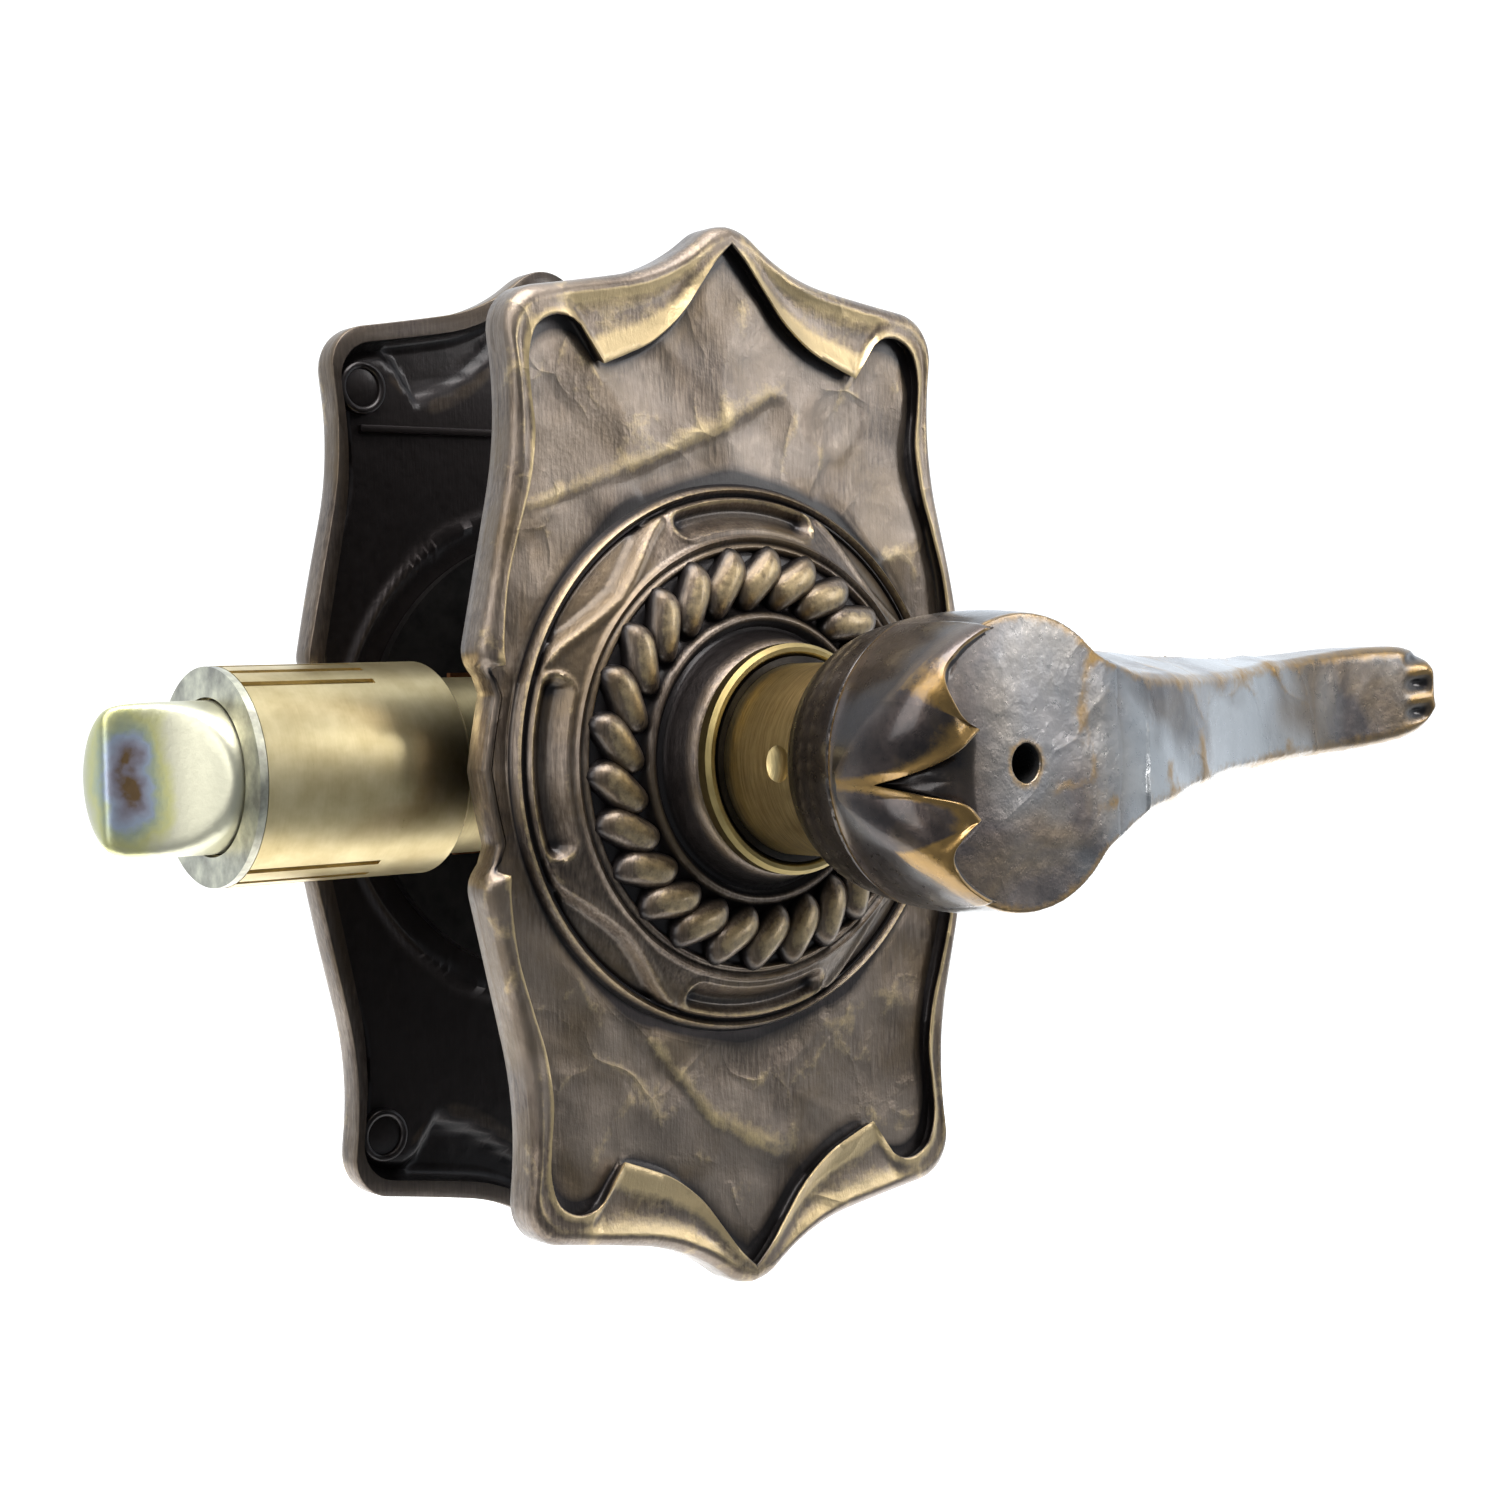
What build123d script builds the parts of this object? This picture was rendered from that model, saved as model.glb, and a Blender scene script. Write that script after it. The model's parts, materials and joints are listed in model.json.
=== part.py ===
from build123d import *
import os
from math import cos, pi, radians, sin, sqrt

# Privacy lever set with full decorative plates, as fitted through a 35 mm interior door.
# Frame: the origin is where the spindle axis crosses the middle of the door, which is also
# on the latch axis. The outside trim is at -Y and the inside trim at +Y. The latch points
# to -X, the lever arms point to +X, and +Z is up. Sizes are millimetres.
# A depth is measured from a door face outwards, so a negative depth is inside the door.

os.makedirs("parts", exist_ok=True)

# Door
door_thickness = 35.0
backset = 60.3
edge_bore = 25.4
cross_bore = 54.0

# Clearances
running = 0.05
seat = 0.05
free = 0.4

# Plates
plate_height = 128.0
plate_width = 73.8
rim_height = 5.0
rim_wall = 2.2
rim_side_bevel = (1.1, 25.0)
rim_top_bevel = (0.7, 58.0)
field_height = 3.4
plate_wall = 1.6
boss_radius = 3.5
boss_inset = (9.2, 16.4)
rib_thickness = 1.2
rib_drop = 21.5

# Rosette on each plate: a thin outer ring, a band with slots and leaf scoops, the rope in
# its bed, an inner ring and the neck
rosette_radius = 32.6
ring_height = 4.8
band_width = 5.0
band_rise = 3.2
slot_width = 2.6
slot_half_angle = 17.0
leaf_half_angle = 23.0
leaf_depth = 3.7
outer_ring_width = 1.4
band_bevel = 1.6
rope_radius = 21.3
rope_width = 6.2
rope_height = 2.6
rope_strands = 26
rope_slant = 43.0
inner_ring_height = 9.4
neck_height = 13.4

# Turning parts of each trim
shank_radius = 11.25
tube_wall = 0.8
ring_wall = 1.5
ring_depth = 1.8
chassis_thickness = 1.5
flange_lap = 2.0
shank_inside_door = 8.0
shank_in_lever = 11.5
shank_showing = 13.3
set_screw_radius = 2.1
set_screw_sink = 0.8
snap_ring_thickness = 1.0
snap_ring_width = 2.2
driver_thickness = 1.2
driver_width = 5.0
spring_wire = 1.1
spring_turns = 2.25
lug_width = 4.0
lug_length = 1.4
key_width = 2.2
key_depth = 4.5

# Lever
lever_tilt = 4.0
head_radius = 15.7
head_front = 53.9
head_shoulder = 6.0
head_round = 1.2
field_drop = 0.9
arm_edge = 0.9
arm_reach = 84.5
petal_lip = ((-0.5, 1.1), (-0.74, 0.66), (-0.66, 0.36), (-0.43, 0.2))
petal_root = -0.7
petal_start = 0.68
petal_round = 9.4
valley_drop = 4.0
arm_sweep = 12.7
arm_root = 17.0
emergency_radius = 2.15

# Spindle and privacy lock
spindle_across = 7.6
spindle_in_shank = 30.0
rod_radius = 1.5
rod_end = 40.0
pin_radius = 1.0
pin_half_length = 7.5
button_radius = 5.0
button_proud = 5.0
button_travel = 4.0
button_flange = 1.0
button_flange_height = 2.0
button_lip = 3.0
button_crown = 1.2
stem_grip = 3.0
button_stem = 2.6
button_wire = 0.7
lock_plate_thickness = 1.5
lock_plate_height = 18.0
lock_leg_span = 39.0

# Mounting screws
screw_spacing = 41.0
screw_radius = 2.0
post_radius = 3.5
post_end = 15.5
screw_head_radius = 3.8
screw_head_height = 2.2
screw_reach = 9.0

# Latch
face_ring_thickness = 1.0
collar_length = 27.9
collar_wall = 1.3
groove_depth = 0.5
groove_width = 0.9
groove_length = 17.0
barrel_end = 25.0
barrel_wall = 1.7
barrel_shoulder = 2.0
bolt_clearance = 0.1
bolt_reach = 12.0
bolt_tip_thickness = 6.5
bolt_length = 20.3
bolt_tail = 10.5
bolt_tail_radius = 3.2
bolt_wire = 1.2
bolt_turns = 6
case_thickness = 0.8
case_inner = 7.6
case_height = 22.4
case_reach = 13.0
case_web = 4.0
spacer_radius = 1.7
rivet_radius = 1.2
rivet_proud = 0.5
cam_hub_radius = 7.0
cam_hub_length = 10.4
cam_finger_reach = 11.3
cam_finger_width = 3.0
turn_limit = 62.0
draw_bar_thickness = 1.6
drive_pin_radius = 1.2
drive_pin_gap = 0.3
draw_bar_height = 21.8
fork_bridge = 3.8

# Values that follow from the sizes above
face = door_thickness / 2
wide = plate_width / 2
tall = plate_height / 2
tube_inner = shank_radius + running
tube_outer = tube_inner + tube_wall
ring_inner = tube_outer + seat
ring_outer = ring_inner + ring_wall
neck_start = neck_height + ring_depth + shank_showing
shank_end = neck_start + shank_in_lever
spindle_half = spindle_across / 2
spindle_end = face + spindle_in_shank
screw_z = screw_spacing / 2
collar_radius = edge_bore / 2
barrel_play = 0.7
barrel_radius = collar_radius - collar_wall - seat - barrel_play
barrel_inner = barrel_radius - barrel_wall
bolt_radius = barrel_inner - bolt_clearance
bolt_stroke = 2 * cam_finger_reach * sin(radians(turn_limit / 2))
rope_bed = inner_ring_height - 1.8
band_inner = rosette_radius - band_width
band_top = ring_height + band_rise


def out(depth):
    """Plane parallel to the door at a depth off its outside face, looking outwards."""
    return Plane(origin=(0, -face - depth, 0), x_dir=(1, 0, 0), z_dir=(0, -1, 0))


def section(radius, depth):
    """Point of a profile that is turned about the spindle axis, on the outside trim."""
    return (radius, -face - depth)


def other_side(piece):
    """The same piece on the inside trim."""
    return piece.mirror(Plane.XZ)


def save(part, name):
    part.label = name
    export_step(part, f"parts/{name}.step")


def plate_outline():
    """Scalloped outline: a pointed top and bottom, round shoulders and swept wings."""
    with BuildSketch() as outline:
        with BuildLine():
            tip = TangentArc((0, tall), (0.1 * wide, 0.98 * tall), tangent=(1, 0))
            brow = TangentArc(tip @ 1, (0.434 * wide, 0.894 * tall), tangent=tip % 1)
            temple = TangentArc(brow @ 1, (0.76 * wide, 0.864 * tall), tangent=brow % 1)
            shoulder = TangentArc(temple @ 1, (0.877 * wide, 0.773 * tall), tangent=temple % 1)
            waist = TangentArc(shoulder @ 1, (0.894 * wide, 0.494 * tall), tangent=shoulder % 1)
            wing = TangentArc(waist @ 1, (wide, 0.225 * tall), tangent=waist % 1)
            wing_tip = TangentArc(wing @ 1, (0.968 * wide, 0.17 * tall), tangent=wing % 1)
            notch = Line(wing_tip @ 1, (0.945 * wide, 0.135 * tall))
            ThreePointArc(notch @ 1, (0.975 * wide, 0.075 * tall), (0.992 * wide, 0))
            mirror(about=Plane.XZ)
            mirror(about=Plane.YZ)
        make_face()
    return outline.sketch


def field_outline():
    """The recessed field: it stops at the folded ribbons and side rims, and runs out
    over the edge between the wings."""
    with BuildSketch() as outline:
        with BuildLine():
            ribbon = Spline(
                (0, 0.975 * tall),
                (0.12 * wide, 0.895 * tall),
                (0.33 * wide, 0.78 * tall),
                (0.55 * wide, 0.725 * tall),
                tangents=((0.3, -1), (1, -0.35)),
            )
            curl = Spline(
                ribbon @ 1,
                (0.635 * wide, 0.8 * tall),
                (0.74 * wide, 0.812 * tall),
                (0.8 * wide, 0.74 * tall),
                tangents=((0.25, 1), (0, -1)),
            )
            rim = Spline(
                curl @ 1,
                (0.785 * wide, 0.62 * tall),
                (0.85 * wide, 0.448 * tall),
                (0.928 * wide, 0.215 * tall),
                tangents=((0, -1), (0.1, -1)),
            )
            lip = Line(rim @ 1, (1.05 * wide, 0.15 * tall))
            Line(lip @ 1, (1.05 * wide, 0))
            mirror(about=Plane.XZ)
            mirror(about=Plane.YZ)
        make_face()
    return outline.sketch


def leaf_outline():
    """A scoop on the band: an arc along its outer edge and a point towards the rope."""
    outer = rosette_radius - outer_ring_width
    corner = (outer * cos(radians(leaf_half_angle)), outer * sin(radians(leaf_half_angle)))
    with BuildSketch() as outline:
        with BuildLine():
            ThreePointArc(corner, (outer, 0), (corner[0], -corner[1]))
            Polyline(corner, (outer - leaf_depth, 0), (corner[0], -corner[1]))
        make_face()
    return outline.sketch


# One strand of the rope ring, drawn about the rope's middle circle at three o'clock
strand_half_length = rope_width / 2 / cos(radians(rope_slant))
strand_half_width = pi * rope_radius / rope_strands * cos(radians(rope_slant)) - running


def strand_section(height, share):
    """Six-sided section of a strand, share of its full size, at a height over its bed."""
    with BuildSketch(Plane.XY.offset(rope_bed + height)) as cut:
        with BuildLine(Location((rope_radius, 0, 0), (0, 0, -rope_slant))):
            long, across = share * strand_half_length, share * strand_half_width
            Polyline(
                (long, 0),
                (0.5 * long, across),
                (-0.5 * long, across),
                (-long, 0),
                (-0.5 * long, -across),
                (0.5 * long, -across),
                close=True,
            )
        make_face()
    return cut.sketch


with BuildPart() as rope_strand:
    levels = ((-0.3, 1.0), (0.55 * rope_height, 0.94), (rope_height, 0.5))
    loft([strand_section(height, share) for height, share in levels], ruled=True)

# Plate: a hollow casting with a raised rim, the rosette and the rope ring
with BuildPart(out(0)) as outside_escutcheon:
    with BuildSketch(out(0)):
        add(plate_outline())
    extrude(amount=rim_height - rim_side_bevel[0] - rim_top_bevel[0])
    for height, slope in (rim_side_bevel, rim_top_bevel):
        extrude(faces().sort_by(Axis.Y)[0], amount=height, taper=slope)
    with BuildSketch(out(field_height)):
        add(field_outline())
    extrude(amount=rim_height, mode=Mode.SUBTRACT)
    with BuildSketch(Plane.XY):
        with BuildLine():
            Polyline(
                section(0, field_height - plate_wall),
                section(rosette_radius + 0.4, field_height - plate_wall),
                section(rosette_radius + 0.4, field_height),
                section(rosette_radius, ring_height),
                section(rosette_radius - 0.8, ring_height),
                section(rosette_radius - outer_ring_width, ring_height - 0.6),
                section(band_inner, band_top - band_bevel),
                section(band_inner - 0.7, band_top),
                section(band_inner - 1.9, band_top),
                section(band_inner - 2.6, rope_bed),
                section(rope_radius - rope_width / 2, rope_bed),
                section(rope_radius - rope_width / 2 - 1.0, inner_ring_height),
                section(rope_radius - rope_width / 2 - 2.0, inner_ring_height),
                section(ring_outer + 1.6, inner_ring_height - 0.9),
                section(ring_outer, neck_height),
                section(0, neck_height),
                close=True,
            )
        make_face()
    revolve(axis=Axis.Y)
    with BuildSketch(out(ring_height - 0.2)):
        with PolarLocations(0, 4, start_angle=45):
            add(leaf_outline())
        for turn in (0, 90, 180, 270):
            arc = CenterArc(
                (0, 0),
                rosette_radius - band_width * 0.62,
                turn - slot_half_angle,
                2 * slot_half_angle,
                mode=Mode.PRIVATE,
            )
            SlotArc(arc, slot_width)
    extrude(amount=neck_height, mode=Mode.SUBTRACT)
    with PolarLocations(0, rope_strands):
        add(rope_strand.part)
    with BuildSketch(out(0)):
        offset(plate_outline(), amount=-rim_wall)
    extrude(amount=field_height - plate_wall, mode=Mode.SUBTRACT)
    with BuildSketch(Plane.XY):
        with BuildLine():
            Polyline(
                section(0, 0),
                section(band_inner - plate_wall, 0),
                section(band_inner - plate_wall, band_top - band_bevel - plate_wall),
                section(ring_outer + 1.4, rope_bed - plate_wall),
                section(ring_inner, neck_height - plate_wall),
                section(ring_inner, neck_height + 1),
                section(0, neck_height + 1),
                close=True,
            )
        make_face()
    revolve(axis=Axis.Y, mode=Mode.SUBTRACT)
    with BuildSketch(out(field_height - plate_wall)):
        with GridLocations(2 * (wide - boss_inset[0]), 2 * (tall - boss_inset[1]), 2, 2):
            Circle(boss_radius)
        with Locations((0, tall - rib_drop)):
            Rectangle(2 * wide * 0.84, rib_thickness)
    extrude(amount=-(field_height - plate_wall) / 2)
save(outside_escutcheon.part, "outside_escutcheon")

with BuildPart() as inside_escutcheon:
    add(other_side(outside_escutcheon.part))
save(inside_escutcheon.part, "inside_escutcheon")

# Ring nut: the pale brass ring that holds the plate on its tube
with BuildPart() as outside_ring_nut:
    with BuildSketch(out(neck_height + seat)):
        Circle(ring_outer)
        Circle(ring_inner, mode=Mode.SUBTRACT)
    extrude(amount=ring_depth)
    front = faces().sort_by(Axis.Y)[0]
    chamfer(front.edges(), length=ring_wall / 3)
save(outside_ring_nut.part, "outside_ring_nut")

with BuildPart() as inside_ring_nut:
    add(other_side(outside_ring_nut.part))
save(inside_ring_nut.part, "inside_ring_nut")

# Chassis: a flange on the door round the cross bore, with the fixed tube that the shank turns in
spring_radius = tube_outer + free + spring_wire
lug_radius = spring_radius + spring_wire / 2 + free + lug_length / 2
spring_rise = spring_wire * 1.15
spring_depth = spring_rise * (spring_turns + 1) + free


def post_holes(radius):
    """Sketch of the two round shapes on the mounting screws' axes."""
    with BuildSketch() as holes:
        with Locations((0, screw_z), (0, -screw_z)):
            Circle(radius)
    return holes.sketch


def chassis(post_hole):
    with BuildPart() as plate:
        with BuildSketch(out(0)):
            Circle(cross_bore / 2 + flange_lap)
            Circle(tube_inner, mode=Mode.SUBTRACT)
            add(post_holes(post_hole), mode=Mode.SUBTRACT)
        extrude(amount=chassis_thickness)
        with BuildSketch(out(chassis_thickness)):
            Circle(tube_outer)
            Circle(tube_inner, mode=Mode.SUBTRACT)
        extrude(amount=neck_height + ring_depth - chassis_thickness)
        with BuildSketch(out(0)):
            with Locations((-lug_radius, 0)):
                Rectangle(lug_length, lug_width)
        extrude(amount=-spring_depth / 2)
    return plate.part


with BuildPart() as outside_chassis:
    add(chassis(post_radius + seat))
save(outside_chassis.part, "outside_chassis")

with BuildPart() as inside_chassis:
    add(other_side(chassis(screw_radius + seat)))
save(inside_chassis.part, "inside_chassis")

# Posts: two threaded sleeves riveted into the outside chassis
with BuildPart() as outside_posts:
    with BuildSketch(out(chassis_thickness)):
        add(post_holes(post_radius))
    extrude(amount=-(chassis_thickness + post_end))
    with BuildSketch(out(chassis_thickness)):
        add(post_holes(post_radius + 1.0))
    extrude(amount=0.8)
    with BuildSketch(out(-post_end)):
        add(post_holes(screw_radius + seat))
    extrude(amount=screw_reach + 2, mode=Mode.SUBTRACT)
save(outside_posts.part, "outside_posts")

# Screws: they pass the inside chassis and draw it to the posts
screw_tip = face - post_end + screw_reach
with BuildPart() as mounting_screws:
    with BuildSketch(Plane.XZ.offset(-face - chassis_thickness - seat)):
        add(post_holes(screw_head_radius))
    extrude(amount=-screw_head_height)
    heads = faces().sort_by(Axis.Y)[-2:]
    chamfer(heads.edges(), length=screw_head_height / 3)
    with BuildSketch(Plane.XZ.offset(-face - chassis_thickness - seat)):
        add(post_holes(screw_radius))
    extrude(amount=face + chassis_thickness + seat + screw_tip)
    with BuildSketch(Plane.XZ.offset(-face - chassis_thickness - seat - screw_head_height)):
        with Locations((0, screw_z), (0, -screw_z)):
            for turn in (0, 90):
                Rectangle(screw_head_radius, 0.9, rotation=turn)
    extrude(amount=screw_head_height / 2, mode=Mode.SUBTRACT)
save(mounting_screws.part, "mounting_screws")


# Shank: the brass neck between the plate and the lever, socketed for the spindle
def shank():
    with BuildPart() as neck:
        with BuildSketch(out(-shank_inside_door)):
            Circle(shank_radius)
            Rectangle(spindle_across + 2 * seat, spindle_across + 2 * seat, mode=Mode.SUBTRACT)
        extrude(amount=shank_inside_door + spindle_in_shank + free)
        with BuildSketch(out(spindle_in_shank + free)):
            Circle(shank_radius)
            Circle(rod_radius + free, mode=Mode.SUBTRACT)
        extrude(amount=shank_end - spindle_in_shank - free)
        with BuildSketch(out(-shank_inside_door)):
            Rectangle(key_width, 2 * shank_radius)
        extrude(amount=key_depth, mode=Mode.SUBTRACT)
        with BuildSketch(out(snap_ring_at - seat)):
            Circle(shank_radius)
            Circle(shank_radius - snap_ring_width / 2, mode=Mode.SUBTRACT)
        extrude(amount=snap_ring_thickness + 2 * seat, mode=Mode.SUBTRACT)
        with BuildSketch(Plane.YZ.offset(-shank_radius)):
            with Locations((-face - set_screw_at, 0)):
                Circle(set_screw_radius)
        extrude(amount=shank_radius - spindle_half, mode=Mode.SUBTRACT)
    return neck.part


driver_at = -spring_depth - free / 2 - driver_thickness
snap_ring_at = driver_at - seat - snap_ring_thickness
set_screw_at = neck_height + ring_depth + 0.72 * shank_showing

with BuildPart() as outside_shank:
    add(shank())
save(outside_shank.part, "outside_shank")

with BuildPart() as inside_shank:
    add(other_side(shank()))
save(inside_shank.part, "inside_shank")

# Set screw: it shows as a small round dimple in the shank and bites on the spindle
set_screw_length = shank_radius - set_screw_sink - spindle_half - seat
with BuildPart() as outside_set_screw:
    with BuildSketch(Plane.YZ.offset(-shank_radius + set_screw_sink)):
        with Locations((-face - set_screw_at, 0)):
            Circle(set_screw_radius - seat)
    extrude(amount=set_screw_length)
    with BuildSketch(Plane.YZ.offset(-shank_radius + set_screw_sink)):
        with Locations((-face - set_screw_at, 0)):
            RegularPolygon(set_screw_radius / 2, 6)
    extrude(amount=set_screw_length / 2, mode=Mode.SUBTRACT)
save(outside_set_screw.part, "outside_set_screw")

with BuildPart() as inside_set_screw:
    add(other_side(outside_set_screw.part))
save(inside_set_screw.part, "inside_set_screw")


# Return springs: a torsion coil round each shank, between the chassis and its driver
def coil(radius, rise, turns, wire, steps=16):
    """Many-cornered run of a coil about +Z from z = 0, and its six-sided section."""
    count = round(turns * steps)
    turned = [2 * pi * turns * i / count for i in range(count + 1)]
    path = [(radius * cos(t), radius * sin(t), rise * t / (2 * pi)) for t in turned]
    with BuildPart() as spring:
        with BuildLine() as run:
            Polyline(*path)
        with BuildSketch(Plane(origin=run.line @ 0, z_dir=run.line % 0)):
            RegularPolygon(wire / 2, 6)
        sweep(path=run.line, transition=Transition.RIGHT)
    return spring.part


def tang(angle, height):
    """Plane at the root of a spring's straight end, facing outwards."""
    root = spring_radius - spring_wire / 4
    return Plane(
        origin=(root * cos(angle), root * sin(angle), height), z_dir=(cos(angle), sin(angle), 0)
    )


tang_beside_lug = (lug_width / 2 + spring_wire / 2 + seat) / lug_radius
spring_wound = spring_turns + tang_beside_lug / pi
with BuildPart() as torsion_coil:
    add(coil(spring_radius, spring_rise, spring_wound, spring_wire))
    with BuildSketch(tang(0, 0), tang(2 * pi * spring_wound, spring_rise * spring_wound)):
        Circle(spring_wire / 2)
    extrude(amount=lug_length + spring_wire)

# The coil starts below the chassis' lug and ends on the far side of the driver's
spring_seat = Plane(
    origin=(0, -face + free / 2 + spring_wire / 2, 0),
    x_dir=(-cos(tang_beside_lug), 0, -sin(tang_beside_lug)),
    z_dir=(0, 1, 0),
)
with BuildPart() as outside_return_spring:
    add(spring_seat * torsion_coil.part)
save(outside_return_spring.part, "outside_return_spring")

with BuildPart() as inside_return_spring:
    add(other_side(outside_return_spring.part))
save(inside_return_spring.part, "inside_return_spring")

# Driver: a keyed washer whose lug winds the return spring
with BuildPart() as outside_spring_driver:
    with BuildSketch(out(driver_at)):
        Circle(shank_radius + driver_width)
        Circle(shank_radius + seat, mode=Mode.SUBTRACT)
        with GridLocations(0, 2 * shank_radius - 1.0, 1, 2):
            Rectangle(key_width - 2 * seat, 1.8)
    extrude(amount=driver_thickness)
    with BuildSketch(out(driver_at + driver_thickness)):
        with Locations((0, lug_radius)):
            Rectangle(lug_width, lug_length)
    extrude(amount=spring_depth / 2 - free)
save(outside_spring_driver.part, "outside_spring_driver")

with BuildPart() as inside_spring_driver:
    add(other_side(outside_spring_driver.part))
save(inside_spring_driver.part, "inside_spring_driver")

# Snap ring: an open ring in the shank's groove that keeps it in its tube
with BuildPart() as outside_snap_ring:
    with BuildSketch(out(snap_ring_at)):
        Circle(shank_radius + snap_ring_width / 2)
        Circle(shank_radius - snap_ring_width / 2 + seat, mode=Mode.SUBTRACT)
        with Locations((shank_radius, 0)):
            Rectangle(2 * snap_ring_width, shank_radius / 2, mode=Mode.SUBTRACT)
    extrude(amount=snap_ring_thickness)
save(outside_snap_ring.part, "outside_snap_ring")

with BuildPart() as inside_snap_ring:
    add(other_side(outside_snap_ring.part))
save(inside_snap_ring.part, "inside_snap_ring")

# Lever: a drum-shaped head and an arm that sweeps back to the door and out again
tilt = radians(lever_tilt)


def arm_station(reach):
    """Plane across the arm at a distance from the spindle axis: its x is outwards."""
    return Plane(
        origin=(reach * cos(tilt), -face, reach * sin(tilt)),
        x_dir=(0, -1, 0),
        z_dir=(cos(tilt), 0, sin(tilt)),
    )


def arm_section(reach, sweep, thick, front_half, back_half):
    """Section of the arm, wider at its back than at its front, with bevelled corners. It is
    given in shares of the arm's reach, its sweep, its thickness at the root and the head."""
    front = head_front - field_drop - sweep * arm_sweep
    back = front - thick * arm_root
    front_half, back_half = front_half * head_radius, back_half * head_radius
    with BuildSketch(arm_station(reach * arm_reach)) as cut:
        with BuildLine():
            Polyline(
                (front, front_half - arm_edge),
                (front - arm_edge, front_half),
                (back + arm_edge, back_half),
                (back, back_half - arm_edge),
                (back, arm_edge - back_half),
                (back + arm_edge, -back_half),
                (front - arm_edge, -front_half),
                (front, arm_edge - front_half),
                close=True,
            )
        make_face()
    return cut.sketch


def petal_scrap():
    """What the round of the petals takes off the drum's corner, seen along the arm's height."""
    edge = -petal_start * head_radius
    with BuildSketch() as scrap:
        with BuildLine():
            corner = EllipticalCenterArc(
                center=(edge, petal_round - face - head_front),
                x_radius=head_radius + free + edge,
                y_radius=petal_round,
                start_angle=180,
                arc_size=90,
            )
            Polyline(
                corner @ 1,
                (edge, -face - head_front - valley_drop),
                (-2 * head_radius, -face - head_front - valley_drop),
                (-2 * head_radius, petal_round - face - head_front),
                corner @ 0,
            )
        make_face()
    return scrap.sketch


def lever():
    field = head_front - field_drop
    with BuildPart() as handle:
        loft(
            [
                arm_section(0.02, 0.0, 1.0, 0.86, 0.86),
                arm_section(0.145, 0.02, 0.93, 0.69, 0.78),
                arm_section(0.24, 0.11, 0.77, 0.52, 0.69),
                arm_section(0.355, 0.33, 0.58, 0.44, 0.61),
                arm_section(0.475, 0.60, 0.49, 0.40, 0.53),
                arm_section(0.615, 0.87, 0.44, 0.40, 0.46),
                arm_section(0.77, 1.0, 0.39, 0.41, 0.43),
                arm_section(0.9, 0.97, 0.35, 0.395, 0.395),
                arm_section(0.965, 0.92, 0.33, 0.34, 0.34),
                arm_section(1.0, 0.88, 0.29, 0.2, 0.2),
            ]
        )
        with BuildSketch(Plane.XY):
            with BuildLine():
                back = Spline(
                    section(shank_radius + 1.0, neck_start),
                    section(0.93 * head_radius, neck_start + 0.45 * head_shoulder),
                    section(head_radius, neck_start + 1.6 * head_shoulder),
                    tangents=((1, -0.35), (0, -1)),
                )
                side = Line(back @ 1, section(head_radius, head_front - head_round))
                Polyline(
                    side @ 1,
                    section(head_radius - head_round, head_front),
                    section(0, head_front),
                    section(0, neck_start),
                    back @ 0,
                )
            make_face()
        revolve(axis=Axis.Y)
        with BuildSketch(out(field)):
            with BuildLine(Rotation(0, 0, lever_tilt)):
                upper = Spline([(x * head_radius, z * head_radius) for x, z in petal_lip])
                lower = Spline([(x * head_radius, -z * head_radius) for x, z in petal_lip])
                Polyline(upper @ 1, (petal_root * head_radius, 0), lower @ 1)
                Polyline(
                    upper @ 0,
                    (1.1 * head_radius, 1.1 * head_radius),
                    (1.1 * head_radius, -1.1 * head_radius),
                    lower @ 0,
                )
            make_face()
        extrude(amount=2 * field_drop, mode=Mode.SUBTRACT)
        with BuildSketch(Plane.XY.rotated((0, -lever_tilt, 0))):
            add(petal_scrap())
        extrude(amount=head_radius, both=True, mode=Mode.SUBTRACT)
        with BuildSketch(arm_station(-1.08 * head_radius)):
            with Locations((head_front - valley_drop, 0)):
                Rectangle(2 * valley_drop, valley_drop / 10)
        with BuildSketch(arm_station(-0.4 * head_radius)):
            with Locations((field + valley_drop, 0)):
                Rectangle(2 * valley_drop, 0.4 * head_radius)
        loft(ruled=True, mode=Mode.SUBTRACT)
        with BuildSketch(out(neck_start - 1)):
            Circle(shank_radius + seat)
        extrude(amount=shank_in_lever + 1 + seat, mode=Mode.SUBTRACT)
    return handle.part


lever_form = lever()
with BuildPart() as outside_lever:
    add(lever_form)
    with BuildSketch(out(shank_end)):
        Circle(emergency_radius)
    extrude(amount=head_front, mode=Mode.SUBTRACT)
save(outside_lever.part, "outside_lever")

button_shoulder = head_front - field_drop - button_lip
with BuildPart() as inside_lever:
    add(other_side(lever_form))
    with BuildSketch(Plane.XZ.offset(-face - shank_end)):
        Circle(button_radius + button_flange + running)
    extrude(amount=-(button_shoulder - shank_end), mode=Mode.SUBTRACT)
    with BuildSketch(Plane.XZ.offset(-face - button_shoulder)):
        Circle(button_radius + running)
    extrude(amount=-head_front, mode=Mode.SUBTRACT)
save(inside_lever.part, "inside_lever")

# Spindle: a square bar through the latch, bored for the lock rod and slotted for its pin
lock_face = cam_hub_length / 2 + free + lock_plate_thickness
pin_pushed = lock_face + pin_radius + drive_pin_gap
pin_rest = pin_pushed + button_travel
with BuildPart() as spindle:
    with BuildSketch(Plane.XZ.offset(-spindle_end)):
        Rectangle(spindle_across, spindle_across)
        Circle(rod_radius + running, mode=Mode.SUBTRACT)
    extrude(amount=2 * spindle_end)
    with BuildSketch(Plane.XZ.offset(-pin_rest - pin_radius - free)):
        Rectangle(2 * (pin_radius + running), 2 * spindle_across)
    extrude(amount=button_travel + 2 * pin_radius + 2 * free, mode=Mode.SUBTRACT)
save(spindle.part, "spindle")

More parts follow.
